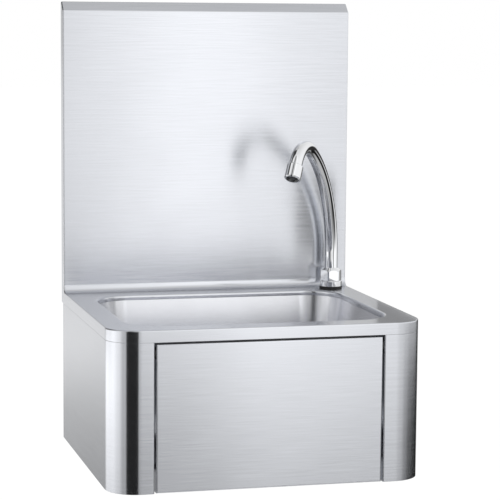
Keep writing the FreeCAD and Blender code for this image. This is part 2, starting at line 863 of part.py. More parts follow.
def make_deck_nut():
    foot = deck_height - sheet - deck_washer_thickness - deck_nut_height
    nut = hexagon(deck_nut_width, tap_point(foot), up * deck_nut_height, deck_nut_width * nut_corner_share)
    start = tap_point(foot - clear_cut)
    return nut.cut(rod(tap_thread_radius + nut_play, start, up * (deck_nut_height + 2.0 * clear_cut)))


# ---- spout: its path lies in one upright plane ---------------------------
spout_turn = math.radians(spout_turn_degrees)
spout_heading = Vector(-math.cos(spout_turn), -math.sin(spout_turn), 0)


def spout_point(reach, height):
    return tap_point(deck_height + height) + spout_heading * reach


def spout_path():
    """Stem, long easy arc, tight arc and short straight end, all tangent."""
    start = spout_point(0.0, base_top - deck_height - spout_seat_depth + rest_gap)
    bend = spout_point(0.0, spout_stem_height)
    edges = [Part.LineSegment(start, bend).toShape()]
    reach, height, lean = 0.0, spout_stem_height, 0.0
    bends = [(spout_long_radius, spout_long_degrees), (spout_tight_radius, spout_tight_degrees)]
    for radius, degrees in bends:
        marks = []
        for share in (0.5, 1.0):
            turned_to = lean + math.radians(degrees) * share
            out = reach + radius * (math.cos(lean) - math.cos(turned_to))
            rise = height + radius * (math.sin(turned_to) - math.sin(lean))
            marks.append((out, rise, turned_to))
        first, crown, last = [spout_point(*mark[:2]) for mark in [(reach, height)] + marks]
        edges.append(Part.Arc(first, crown, last).toShape())
        reach, height, lean = marks[1]
    end_heading = spout_heading * math.sin(lean) + up * math.cos(lean)
    end = spout_point(reach, height) + end_heading * spout_end_length
    edges.append(Part.LineSegment(spout_point(reach, height), end).toShape())
    return edges, end, end_heading


def make_spout_tube():
    edges = spout_path()[0]
    return bar_along(edges, spout_radius).cut(bar_along(edges, spout_radius - spout_wall))


def aerator_top():
    end, heading = spout_path()[1:]
    return end - heading * aerator_overlap, heading


def make_aerator_housing():
    """Cup screwed over the spout's end, with a lip that holds the insert."""
    base, heading = aerator_top()
    inner = aerator_radius - aerator_wall
    neck = spout_radius + running_gap
    profile = [
        (neck, 0.0),
        (aerator_radius - aerator_chamfer, 0.0),
        (aerator_radius, aerator_chamfer),
        (aerator_radius, aerator_length - aerator_chamfer),
        (aerator_radius - aerator_chamfer, aerator_length),
        (inner - aerator_lip, aerator_length),
        (inner - aerator_lip, aerator_length - insert_recess),
        (inner, aerator_length - insert_recess),
        (inner, aerator_overlap),
        (neck, aerator_overlap),
    ]
    return turned(profile, base, heading)


def make_aerator_insert():
    """Disc with a ring of jets, behind the housing's lip."""
    base, heading = aerator_top()
    start = base + heading * (aerator_length - insert_recess - insert_thickness)
    radius = aerator_radius - aerator_wall - running_gap
    insert = rod(radius, start, heading * insert_thickness)
    across = heading.cross(up).normalize()
    other = heading.cross(across)
    for k in range(insert_ring_count):
        angle = 2.0 * math.pi * k / insert_ring_count
        out = across * math.cos(angle) + other * math.sin(angle)
        centre = start + out * insert_ring_radius - heading * clear_cut
        insert = insert.cut(rod(insert_hole_radius, centre, heading * (insert_thickness + 2.0 * clear_cut)))
    return insert


def make_aerator_seal():
    """Flat rubber washer between the spout's end and the insert."""
    base, heading = aerator_top()
    start = base + heading * aerator_overlap
    length = aerator_length - insert_recess - insert_thickness - aerator_overlap
    outer = aerator_radius - aerator_wall - running_gap
    return tube(outer, outer - 2.0 * seal_section, start, heading * length)


# ---- waste ---------------------------------------------------------------
recess_top = bowl_floor_height - drain_recess_depth
bowl_underside = recess_top - sheet
drain_axis = Vector(0, bowl_y, 0)


def make_strainer():
    """Dished strainer in the bowl's recess, with a ring of holes and a sleeve below."""
    top = recess_top + strainer_thickness
    dish = top - strainer_dish_depth
    under = dish - strainer_thickness
    sleeve_bore = strainer_sleeve_radius - strainer_sleeve_wall
    sleeve_foot = recess_top - strainer_sleeve_length
    profile = [
        (0.0, under),
        (sleeve_bore, under),
        (sleeve_bore, sleeve_foot),
        (strainer_sleeve_radius, sleeve_foot),
        (strainer_sleeve_radius, recess_top),
        (strainer_radius, recess_top),
        (strainer_radius, recess_top + strainer_edge_height),
        (strainer_radius - strainer_edge_slope, top),
        (strainer_dish_radius + strainer_dish_slope, top),
        (strainer_dish_radius, dish),
        (0.0, dish),
    ]
    plate = turned(profile, drain_axis, up)
    through = up * (strainer_thickness + 2.0 * clear_cut)
    for k in range(strainer_hole_count):
        angle = 2.0 * math.pi * k / strainer_hole_count
        out = Vector(math.cos(angle), math.sin(angle), 0)
        centre = drain_axis + out * strainer_hole_circle + up * (under - clear_cut)
        plate = plate.cut(rod(strainer_hole_radius, centre, through))
    bore = waste_screw_radius + nut_play
    return plate.cut(rod(bore, drain_axis + up * (under - clear_cut), through))


def make_waste_gasket():
    inner = drain_hole_radius + rest_gap
    foot = bowl_underside - waste_gasket_thickness
    return tube(waste_flange_radius, inner, Vector(0, bowl_y, foot), up * waste_gasket_thickness)


flange_top = bowl_underside - waste_gasket_thickness


def make_waste_body():
    """Flanged cup that narrows to a threaded tailpiece, with a bridge for the screw."""
    flange_foot = flange_top - waste_flange_thickness
    cup_bore = waste_cup_radius - waste_wall
    tail_bore = waste_thread_radius - waste_wall
    thread_top = waste_neck_height - waste_collar_height
    profile = [
        (cup_bore, flange_top),
        (waste_flange_radius, flange_top),
        (waste_flange_radius, flange_foot),
        (waste_cup_radius, flange_foot),
        (waste_cup_radius, waste_neck_height + waste_cone_height),
        (waste_thread_radius + waste_collar_step, waste_neck_height),
        (waste_thread_radius + waste_collar_step, thread_top),
        (waste_thread_radius, thread_top),
        (waste_thread_radius, waste_thread_foot),
        (tail_bore, waste_thread_foot),
        (tail_bore, thread_top),
        (cup_bore, thread_top + waste_cone_height),
    ]
    body = turned(profile, drain_axis, up)
    half = waste_bridge_width / 2.0
    reach = cup_bore + clear_cut
    low = waste_neck_height + waste_bridge_lift
    bridge = block(-reach, reach, bowl_y - half, bowl_y + half, low, low + waste_bridge_height)
    start = Vector(0, bowl_y, low - clear_cut)
    bore = rod(waste_screw_radius + running_gap, start, up * (waste_bridge_height + 2.0 * clear_cut))
    return body.fuse(bridge.cut(bore)).removeSplitter()


def make_waste_screw():
    """Centre screw that draws the strainer and the waste body together."""
    seat = recess_top + strainer_thickness - strainer_dish_depth
    foot = waste_neck_height + waste_screw_end_lift
    screw = rod(waste_screw_radius, Vector(0, bowl_y, foot), up * (seat - foot))
    head = rod(waste_screw_head_radius, Vector(0, bowl_y, seat), up * waste_screw_head_height)
    screw = screw.fuse(head).removeSplitter()
    top = seat + waste_screw_head_height
    reach = waste_screw_head_radius + clear_cut
    half = screw_slot_width / 2.0
    slot = block(-reach, reach, bowl_y - half, bowl_y + half, top - screw_slot_depth, top + clear_cut)
    return screw.cut(slot)


# ---- inner hose ----------------------------------------------------------
outlet_face_x = valve_chamber_length / 2.0 + outlet_thread_length
shank_foot = deck_height - tap_thread_length


def make_hose():
    """Braided hose from the valve's outlet, round under the deck, up to the tap."""
    points = [
        Vector(outlet_face_x + rest_gap, valve_y, valve_height),
        Vector(tap_x, valve_y, valve_height),
        Vector(tap_x, tap_y, valve_height),
        Vector(tap_x, tap_y, shank_foot - rest_gap),
    ]
    return bar_along(line_with_bends(points, hose_bend_radius), hose_radius)


def hose_nut(face, along):
    """Union nut: it takes the thread at its mouth and closes on the hose behind."""
    thread = supply_thread_radius + nut_play
    mouth = outlet_thread_length - clear_cut
    start = face - along * mouth
    nut = hexagon(hose_nut_width, start, along * hose_nut_height)
    nut = nut.cut(rod(thread, start - along * clear_cut, along * (mouth + clear_cut + rest_gap)))
    return nut.cut(rod(hose_radius + running_gap, start, along * (hose_nut_height + clear_cut)))


def make_hose_nut_valve():
    return hose_nut(Vector(outlet_face_x, valve_y, valve_height), Vector(1, 0, 0))


def make_hose_nut_tap():
    return hose_nut(Vector(tap_x, tap_y, shank_foot), Vector(0, 0, -1))


# ---- all pieces ----------------------------------------------------------
def with_twin(shape):
    return Part.Compound([shape, mirrored(shape)])


def build():
    side = make_side_panel()
    return {
        "top_sheet": make_top_sheet(),
        "bowl": make_bowl(),
        "side_panel_left": side,
        "side_panel_right": mirrored(side),
        "rear_rail": make_rear_rail(),
        "front_rail": make_front_rail(),
        "valve_bar": make_valve_bar(),
        "stop_pads": with_twin(make_stop_pad()),
        "travel_buffers": with_twin(make_buffer()),
        "hinge_pins": with_twin(make_hinge_pin()),
        "knee_panel": make_knee_panel(),
        "panel_rib": make_panel_rib(),
        "striker_pad": make_striker_pad(),
        "hinge_bushes": with_twin(make_hinge_bush()),
        "valve_body": make_valve_body(),
        "valve_nut": make_valve_nut(),
        "valve_plunger": make_plunger(),
        "tap_gasket": make_tap_gasket(),
        "tap_shank": make_tap_shank(),
        "tap_nut": make_tap_nut(),
        "deck_washer": make_deck_washer(),
        "deck_nut": make_deck_nut(),
        "spout_tube": make_spout_tube(),
        "aerator_housing": make_aerator_housing(),
        "aerator_insert": make_aerator_insert(),
        "aerator_seal": make_aerator_seal(),
        "strainer": make_strainer(),
        "waste_gasket": make_waste_gasket(),
        "waste_body": make_waste_body(),
        "waste_screw": make_waste_screw(),
        "inner_hose": make_hose(),
        "hose_nut_valve": make_hose_nut_valve(),
        "hose_nut_tap": make_hose_nut_tap(),
    }


os.makedirs("parts", exist_ok=True)
for name, shape in build().items():
    placed = shape.copy()
    placed.translate(Vector(0, 0, -fixing_height))
    placed.exportStep("parts/" + name + ".step")
    print(name, "valid" if placed.isValid() else "BROKEN", len(placed.Solids), round(placed.Volume, 1))
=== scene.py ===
import logging
from dataclasses import dataclass, field
from enum import Enum
from math import atan2, cos, hypot, pi, radians, sin, tan
from typing import Any, ClassVar, Sequence

import bmesh
import bpy
from bmesh.types import BMesh, BMVert
from bpy.types import ID, Material, Node, NodeSocket, NodeTree, Object
from mathutils import Matrix, Vector


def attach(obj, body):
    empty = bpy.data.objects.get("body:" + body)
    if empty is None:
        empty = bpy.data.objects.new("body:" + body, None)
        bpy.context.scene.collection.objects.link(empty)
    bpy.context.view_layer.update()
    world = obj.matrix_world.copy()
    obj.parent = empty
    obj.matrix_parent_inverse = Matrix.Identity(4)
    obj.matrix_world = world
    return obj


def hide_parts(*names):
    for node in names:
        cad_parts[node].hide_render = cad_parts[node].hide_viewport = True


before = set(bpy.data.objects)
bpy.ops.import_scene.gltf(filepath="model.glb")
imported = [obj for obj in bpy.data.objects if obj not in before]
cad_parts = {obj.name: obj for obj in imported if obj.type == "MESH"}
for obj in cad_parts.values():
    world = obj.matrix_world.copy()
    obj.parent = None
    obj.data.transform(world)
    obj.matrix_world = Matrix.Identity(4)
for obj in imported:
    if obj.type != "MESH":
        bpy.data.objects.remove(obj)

# Wall-hung hand wash sink of brushed stainless steel, worked by the knee.
# Metres. X runs to the right, Y into the wall, Z up, and the origin lies on the
# wall in the middle of the four fixing holes.

Pair = tuple[float, float]
Pairs = tuple[Pair, ...]
Triple = tuple[float, float, float]

LOG = logging.getLogger("hand_wash_sink")
MM = 0.001
# How near two corners are welded, in a CAD mesh and in a swept or repeated one.
CAD_WELD = 0.0005 * MM
TREE_WELD = 0.002 * MM
# The values between which most of a noise pattern lies, plain and stretched to a grain.
NOISE_SPAN = (0.3, 0.7)
GRAIN_SPAN = (0.25, 0.75)
WHITE = (1.0, 1.0, 1.0, 1.0)
# Where the tap, the drain and the knee valve stand, in millimetres.
TAP_AT = (170.0, -46.0)
DRAIN_AT = (0.0, -192.0)
VALVE_Y = -282.0


class Body(Enum):
    """The moving bodies of the sink."""

    SINK = "sink"
    KNEE_PANEL = "knee_panel"
    PLUNGER = "plunger"
    SPOUT = "spout"


class Slot(Enum):
    """The record's material slots."""

    SATIN_STEEL = "satin_steel"
    BOWL_STEEL = "bowl_steel"
    INNER_STEEL = "inner_steel"
    CHROME = "chrome"
    BRASS = "brass"
    BLACK_RUBBER = "black_rubber"
    NYLON = "nylon"
    DARK_PLASTIC = "dark_plastic"
    HOSE_BRAID = "hose_braid"


# ---- small helpers ---------------------------------------------------------------
def linear(colour: str) -> tuple[float, float, float, float]:
    """Turns an sRGB hex value to linear red, green, blue and alpha.

    Args:
        colour: Six hex digits after a hash sign.

    Returns:
        Four linear numbers, alpha last.
    """
    parts = [int(colour[k:k + 2], 16) / 255.0 for k in (1, 3, 5)]
    red, green, blue = [p / 12.92 if p <= 0.04045 else ((p + 0.055) / 1.055) ** 2.4 for p in parts]
    return red, green, blue, 1.0


def feed(node: Node, inputs: dict) -> None:
    """Sets or links a node's inputs.

    Args:
        node: The node.
        inputs: A value, a socket, or a node for its first output, by input name or number.
    """
    for key, value in inputs.items():
        if isinstance(value, Node):
            value = value.outputs[0]
        if isinstance(value, NodeSocket):
            node.id_data.links.new(value, node.inputs[key])
        else:
            node.inputs[key].default_value = value


def add(tree: NodeTree, kind: str, inputs: dict | None = None, **settings: Any) -> Node:
    """Adds one node with its settings and links.

    Args:
        tree: The node tree that takes the node.
        kind: The node's type name.
        inputs: What feed() puts into it.
        settings: Properties of the node.

    Returns:
        The new node.
    """
    node = tree.nodes.new(kind)
    for name, value in settings.items():
        setattr(node, name, value)
    feed(node, inputs or {})
    return node


def link(data: ID, name: str) -> Object:
    """Puts a mesh, curve, lamp or camera into the scene at the origin.

    Args:
        data: What the object shows.
        name: The object's name.

    Returns:
        The object.
    """
    piece = bpy.data.objects.new(name, data)
    bpy.context.scene.collection.objects.link(piece)
    return piece


def settled(piece: Object) -> Object:
    """Turns a piece with its modifiers into a plain mesh.

    Args:
        piece: An object whose modifiers are live.

    Returns:
        The same object, with the result as its mesh and no modifier.
    """
    graph = bpy.context.evaluated_depsgraph_get()
    mesh = bpy.data.meshes.new_from_object(
        piece.evaluated_get(graph), preserve_all_data_layers=True, depsgraph=graph
    )
    mesh.name = piece.name
    if piece.type != "MESH":
        name = piece.name
        bpy.data.objects.remove(piece)
        return link(mesh, name)
    piece.modifiers.clear()
    piece.data = mesh
    return piece


def shaded(mesh: BMesh, piece: Object, corner: float, even: bool = True) -> Object:
    """Gives a mesh to a piece and shades it smooth.

    Args:
        mesh: The mesh, which is freed.
        piece: The piece that takes it.
        corner: The angle between two faces, in degrees, from which their edge stays sharp.
        even: Whether large flat faces keep their own direction beside the folds that run into them.

    Returns:
        The same object.
    """
    limit = radians(corner)
    for face in mesh.faces:
        face.smooth = True
    for edge in mesh.edges:
        edge.smooth = len(edge.link_faces) == 2 and edge.calc_face_angle(0.0) < limit
    mesh.to_mesh(piece.data)
    mesh.free()
    if not even:
        return piece
    weighted = piece.modifiers.new("even_normals", "WEIGHTED_NORMAL")
    weighted.mode = "FACE_AREA"
    weighted.weight = 100
    weighted.keep_sharp = True
    return settled(piece)


def bridge(mesh: BMesh, loops: Sequence[Sequence[BMVert]]) -> None:
    """Puts a band of faces between each closed loop of corners and the next.

    Args:
        mesh: The mesh that takes the faces.
        loops: The loops, each with the same number of corners.
    """
    for low, high in zip(loops, loops[1:]):
        for k in range(len(low)):
            after = (k + 1) % len(low)
            mesh.faces.new((low[k], low[after], high[after], high[k]))


def blank(name: str) -> tuple[Material, NodeTree]:
    """Makes a material with an empty node tree.

    Args:
        name: The material's name.

    Returns:
        The material and its tree.
    """
    material = bpy.data.materials.new(name)
    material.use_nodes = True
    material.node_tree.nodes.clear()
    return material, material.node_tree


@dataclass(frozen=True)
class Coat:
    """A finished material with the record's slot for it."""

    material: Material
    slot: Slot


def dressed(piece: Object, coat: Coat, body: Body, node: str) -> None:
    """Gives a piece its finish and its place in the frame.

    Args:
        piece: The finished object.
        coat: Its material and slot.
        body: The body that it rides on.
        node: The CAD node that it stands for.
    """
    piece.data.materials.clear()
    piece.data.materials.append(coat.material)
    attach(piece, body.value)
    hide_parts(node)
    LOG.info("%s: %d faces, rides on %s", piece.name, len(piece.data.polygons), body.value)


@dataclass(frozen=True)
class Thread:
    """A screw thread, cut into a plain cylinder of a mesh. Sizes are in millimetres."""

    foot: Triple
    length: float
    radius: float
    pitch: float
    along: Triple = (0.0, 0.0, 1.0)
    rows_per_turn: int = 8
    depth_share: float = 0.54

    def cut(self, mesh: BMesh) -> None:
        """Swaps the cylinder's faces for rows of faces that follow the thread.

        Args:
            mesh: The mesh that holds the cylinder, in metres.
        """
        axis = Vector(self.along).normalized()
        side = axis.orthogonal().normalized()
        other = axis.cross(side)
        foot = Vector(self.foot) * MM
        near = 0.02 * MM
        upright = 0.1

        def read(vert: BMVert) -> Triple:
            """Reads where a corner lies.

            Args:
                vert: The corner.

            Returns:
                How far along the axis, how far out and at what angle it lies.
            """
            out = vert.co - foot
            x, y = out.dot(side), out.dot(other)
            return out.dot(axis), hypot(x, y), atan2(y, x)

        marks = {v: read(v) for v in mesh.verts}
        last = self.length * MM
        skin = {
            v for v, (t, r, _) in marks.items()
            if abs(r - self.radius * MM) < near and -near < t < last + near
        }
        gone = [f for f in mesh.faces if abs(f.normal.dot(axis)) < upright and all(v in skin for v in f.verts)]
        bmesh.ops.delete(mesh, geom=gone, context="FACES")
        ends = []
        for place in (0.0, last):
            ring = [v for v in skin if v.is_valid and abs(marks[v][0] - place) < near]
            ends.append(sorted(ring, key=lambda v: marks[v][2]))
        angles = [marks[v][2] for v in ends[0]]
        count = max(2, round(self.rows_per_turn * self.length / self.pitch))
        rows = [ends[0]]
        for k in range(1, count):
            t = self.length * k / count
            fade = min(1.0, t / self.pitch, (self.length - t) / self.pitch)
            row = []
            for angle in angles:
                wave = 0.5 - 0.5 * cos(2.0 * pi * t / self.pitch - angle)
                radius = self.radius - self.depth_share * self.pitch * fade * wave
                spot = foot + MM * (axis * t + radius * (side * cos(angle) + other * sin(angle)))
                row.append(mesh.verts.new(spot))
            rows.append(row)
        bridge(mesh, [*rows, ends[1]])


def refined(
    node: str, name: str, corner: float = 28.0, edge: float = 0.0, threads: Sequence[Thread] = ()
) -> Object:
    """A welded copy of a node's mesh, with its flats whole and its round faces shaded smooth.

    Args:
        node: The CAD node to copy.
        name: The new piece's name.
        corner: The angle, in degrees, from which an edge stays sharp.
        edge: How far sharp edges are broken, in millimetres, or 0 to leave them.
        threads: Screw threads to cut into its cylinders.

    Returns:
        The new object.
    """
    mesh = bmesh.new()
    mesh.from_mesh(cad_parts[node].data)
    bmesh.ops.remove_doubles(mesh, verts=mesh.verts, dist=CAD_WELD)
    flat = radians(0.2)
    bmesh.ops.dissolve_limit(mesh, angle_limit=flat, verts=mesh.verts, edges=mesh.edges, delimit=set())
    for thread in threads:
        thread.cut(mesh)
    if edge:
        steep = radians(50.0)
        sharp = [e for e in mesh.edges if len(e.link_faces) == 2 and e.calc_face_angle(0.0) > steep]
        bmesh.ops.bevel(
            mesh, geom=sharp, offset=edge * MM, segments=2, affect="EDGES", profile=0.5, clamp_overlap=False
        )
    return shaded(mesh, link(bpy.data.meshes.new(name), name), corner)


# ---- finishes --------------------------------------------------------------------
@dataclass(frozen=True)
class Finish:
    """One finish: what it is made of and how its surface was worked.

    Relief is how far its pattern shows as bumps, from 0 to 1, and depth is their
    height in millimetres. Clouds are its noise patterns: how wide one patch is in
    millimetres, and how much detail it has.
    """

    METAL: ClassVar[float] = 1.0

    name: str
    colour: str
    roughness: float
    relief: float = 0.0
    depth: float = 0.05
    clouds: Pairs = ()

    def build(self, slot: Slot) -> Coat:
        """Makes the material with its shader and works its surface.

        Args:
            slot: The record's slot that it belongs to.

        Returns:
            The material with its slot.
        """
        material, tree = blank(self.name)
        inputs = {"Base Color": linear(self.colour), "Metallic": self.METAL, "Roughness": self.roughness}
        shader = add(tree, "ShaderNodeBsdfPrincipled", inputs)
        add(tree, "ShaderNodeOutputMaterial", {"Surface": shader})
        material.diffuse_color = linear(self.colour)
        place = add(tree, "ShaderNodeTexCoord").outputs["Object"]
        clouds = []
        for size, detail in self.clouds:
            inputs = {"Vector": place, "Scale": 1.0 / (size * MM), "Detail": detail}
            clouds.append(add(tree, "ShaderNodeTexNoise", inputs))
        self.work(shader, *clouds)
        return Coat(material, slot)

    def work(self, shader: Node, *clouds: Node) -> None:
        """Works the surface, which each finish does in its own way with its noise patterns."""

    def joined(self, operation: str, reads: Sequence[tuple]) -> Node:
        """Reads patterns as numbers and joins the numbers.

        Args:
            operation: How they are joined, "ADD" or "MULTIPLY".
            reads: Each pattern, two of its values, and the numbers that those two stand for.

        Returns:
            The node that gives the joined number.
        """
        total = None
        for read in reads:
            tree = read[0].id_data
            inputs = dict(zip(("Value", "From Min", "From Max", "To Min", "To Max"), read))
            number = add(tree, "ShaderNodeMapRange", inputs)
            if total is not None:
                number = add(tree, "ShaderNodeMath", {0: total, 1: number}, operation=operation)
            total = number
        return total

    def tint(self, shader: Node, *reads: tuple) -> None:
        """Multiplies the finish's colour by what patterns say.

        Args:
            shader: The material's shader.
            reads: The patterns, as joined() reads them.
        """
        inputs = {"Factor": 1.0, "A": linear(self.colour), "B": self.joined("MULTIPLY", reads)}
        shade = add(shader.id_data, "ShaderNodeMix", inputs, data_type="RGBA", blend_type="MULTIPLY")
        feed(shader, {"Base Color": shade.outputs["Result"]})

    def roughen(self, shader: Node, *reads: tuple) -> None:
        """Sets the roughness to the sum of what patterns say, read as in joined()."""
        feed(shader, {"Roughness": self.joined("ADD", reads)})

    def emboss(self, shader: Node, height: Node) -> None:
        """Raises the surface by a pattern, as far as the finish's relief and depth say."""
        inputs = {"Height": height, "Strength": self.relief, "Distance": self.depth * MM}
        feed(shader, {"Normal": add(shader.id_data, "ShaderNodeBump", inputs)})


@dataclass(frozen=True)
class BrushedSteel(Finish):
    """Stainless sheet, brushed along its length.

    Fine scratches lie along the sheet, so a lamp's reflection stays sharp along them
    and smears across them. Handling leaves faint dull patches.
    """

    relief: float = 0.03
    clouds: Pairs = ((90.0, 2.0),)
    grain: float = 1.1
    grain_length: float = 60.0
    spread: float = 0.85
    shades: Pair = (0.93, 1.05)
    streaks: float = 0.03
    # How dark level faces are painted beside upright ones: painted shade.
    level_shade: float = 0.80
    patchy: float = 0.015

    def work(self, shader: Node, patch: Node) -> None:
        """Brushes the sheet.

        Args:
            shader: The material's shader.
            patch: Dull patches from handling and wiping, a hand wide.
        """
        tree = shader.id_data
        place = add(tree, "ShaderNodeTexCoord").outputs["Object"]
        fine = 1.0 / (self.grain * MM)
        along = 1.0 / (self.grain_length * MM)
        # Scratches are about 0.05 mm wide. They are drawn 1.1 mm wide, to show at this size.
        lines = []
        for scale in ((along, along, fine), (along, fine, along)):
            mapping = add(tree, "ShaderNodeMapping", {"Vector": place, "Scale": scale})
            inputs = {"Vector": mapping, "Scale": 1.0, "Detail": 3.0, "Roughness": 0.6}
            lines.append(add(tree, "ShaderNodeTexNoise", inputs))
        normal = add(tree, "ShaderNodeNewGeometry").outputs["Normal"]
        facing = add(tree, "ShaderNodeSeparateXYZ", {"Vector": normal})
        flat = add(tree, "ShaderNodeMath", {0: facing.outputs["Z"]}, operation="ABSOLUTE")
        inputs = {"Factor": flat, "A": lines[0], "B": lines[1]}
        grain = add(tree, "ShaderNodeMix", inputs, data_type="FLOAT")
        # Painted shade: level faces are painted a little darker than upright ones.
        self.tint(shader, (grain, *GRAIN_SPAN, *self.shades), (flat, 0.5, 1.0, 1.0, self.level_shade))
        streak = (grain, *GRAIN_SPAN, self.roughness - self.streaks, self.roughness + self.streaks)
        self.roughen(shader, streak, (patch, *NOISE_SPAN, -self.patchy, self.patchy))
        self.emboss(shader, grain)
        # Light smears across the grain: up and down on a wall, front to back on a level face.
        across = add(tree, "ShaderNodeCombineXYZ", {"X": 0.0, "Y": 0.02, "Z": 1.0})
        feed(shader, {"Anisotropic": self.spread, "Tangent": across})


@dataclass(frozen=True)
class SatinSteel(Finish):
    """Pressed stainless steel, evenly satin from blasting, with faint draw marks."""

    relief: float = 0.06
    clouds: Pairs = ((35.0, 3.0), (0.7, 2.0))
    patchy: float = 0.015
    shades: Pair = (0.975, 1.02)

    def work(self, shader: Node, cloud: Node, grit: Node) -> None:
        """Blasts the sheet.

        Args:
            shader: The material's shader.
            cloud: Wide patches of duller metal.
            grit: The marks of the blasting.
        """
        self.roughen(shader, (cloud, 0.2, 0.8, self.roughness - self.patchy, self.roughness + self.patchy))
        self.tint(shader, (grit, *NOISE_SPAN, *self.shades))
        self.emboss(shader, grit)


@dataclass(frozen=True)
class PlatedMetal(Finish):
    """Polished and plated or turned metal: near a mirror, with fine polishing haze."""

    clouds: Pairs = ((12.0, 4.0),)
    haze: float = 0.02

    def work(self, shader: Node, cloud: Node) -> None:
        """Polishes the metal."""
        self.roughen(shader, (cloud, *NOISE_SPAN, self.roughness, self.roughness + self.haze))


@dataclass(frozen=True)
class Moulded(Finish):
    """Moulded rubber or plastic: a soft sheen broken by a fine mould texture."""

    METAL: ClassVar[float] = 0.0

    relief: float = 0.25
    depth: float = 0.03
    clouds: Pairs = ((0.5, 2.0),)
    patchy: float = 0.06

    def work(self, shader: Node, grain: Node) -> None:
        """Gives the mould's texture."""
        self.roughen(shader, (grain, *NOISE_SPAN, self.roughness - self.patchy, self.roughness + self.patchy))
        self.emboss(shader, grain)


@dataclass(frozen=True)
class CastBrass(Finish):
    """Cast brass, sand-blasted, with turned threads: warm, dull yellow with a fine pebbled skin."""

    relief: float = 0.3
    depth: float = 0.08
    clouds: Pairs = ((1.1, 3.0), (18.0, 3.0))
    shades: Pair = (0.8, 1.05)
    gloss: float = 0.05
    dull: float = 0.08

    def work(self, shader: Node, pebble: Node, stain: Node) -> None:
        """Gives the cast skin and its stains.

        Args:
            shader: The material's shader.
            pebble: The skin that the sand leaves.
            stain: Wide stains.
        """
        self.tint(shader, (stain, *NOISE_SPAN, *self.shades))
        self.roughen(shader, (stain, *NOISE_SPAN, self.roughness - self.gloss, self.roughness + self.dull))
        self.emboss(shader, pebble)


@dataclass(frozen=True)
class WireBraid(Finish):
    """Stainless wire braid: flat bundles of wire cross each other at a slant round the hose."""

    relief: float = 0.8
    depth: float = 0.4
    bundles: float = 12.0
    bundle_length: float = 7.0
    shades: Pair = (0.35, 1.05)
    dull_gaps: float = 0.2

    def work(self, shader: Node) -> None:
        """Weaves the braid on the hose's own map: u round it, v along it in metres.

        Args:
            shader: The material's shader.
        """
        tree = shader.id_data
        spot = add(tree, "ShaderNodeSeparateXYZ", {"Vector": add(tree, "ShaderNodeUVMap", uv_map="braid")})
        around, ahead = [
            add(tree, "ShaderNodeMath", {0: spot.outputs[axis], 1: share}, operation="MULTIPLY")
            for axis, share in (("X", self.bundles), ("Y", 1.0 / (self.bundle_length * MM)))
        ]
        waves = []
        for turn in ("ADD", "SUBTRACT"):
            lean = add(tree, "ShaderNodeMath", {0: around, 1: ahead}, operation=turn)
            waves.append(add(tree, "ShaderNodeMath", {0: lean, 1: 1.0}, operation="PINGPONG"))
        over = add(tree, "ShaderNodeMath", {0: waves[0], 1: waves[1]}, operation="MAXIMUM")
        self.tint(shader, (over, 0.35, 0.9, *self.shades))
        self.roughen(shader, (over, 0.4, 1.0, self.roughness + self.dull_gaps, self.roughness))
        self.emboss(shader, over)


class Palette:
    """All finishes of the sink, each made once, with the record's slot that it belongs to."""

    def __init__(self) -> None:
        """Makes the materials."""
        self.brushed = BrushedSteel("stainless_sheet_brushed", "#D8DADF", 0.21).build(Slot.SATIN_STEEL)
        self.bowl = SatinSteel("stainless_pressed_satin", "#DEDFE3", 0.22).build(Slot.BOWL_STEEL)
        mill = SatinSteel("stainless_mill_finish", "#C6C8CB", 0.34, clouds=((60.0, 3.0), (1.6, 2.0)))
        self.mill = mill.build(Slot.INNER_STEEL)
        self.chrome = PlatedMetal("brass_chrome_plated", "#EEEFF1", 0.03).build(Slot.CHROME)
        self.machined = PlatedMetal("stainless_turned", "#D8D9DC", 0.16, haze=0.06).build(Slot.INNER_STEEL)
        self.brass = CastBrass("brass_cast", "#D9B874", 0.32).build(Slot.BRASS)
        self.rubber = Moulded("rubber_moulded_black", "#161616", 0.55).build(Slot.BLACK_RUBBER)
        self.nylon = Moulded("nylon_moulded_black", "#1B1B1D", 0.42).build(Slot.NYLON)
        self.acetal = Moulded("acetal_moulded_dark", "#1C1D20", 0.34).build(Slot.DARK_PLASTIC)
        self.braid = WireBraid("stainless_wire_braid", "#C9CBCE", 0.22).build(Slot.HOSE_BRAID)


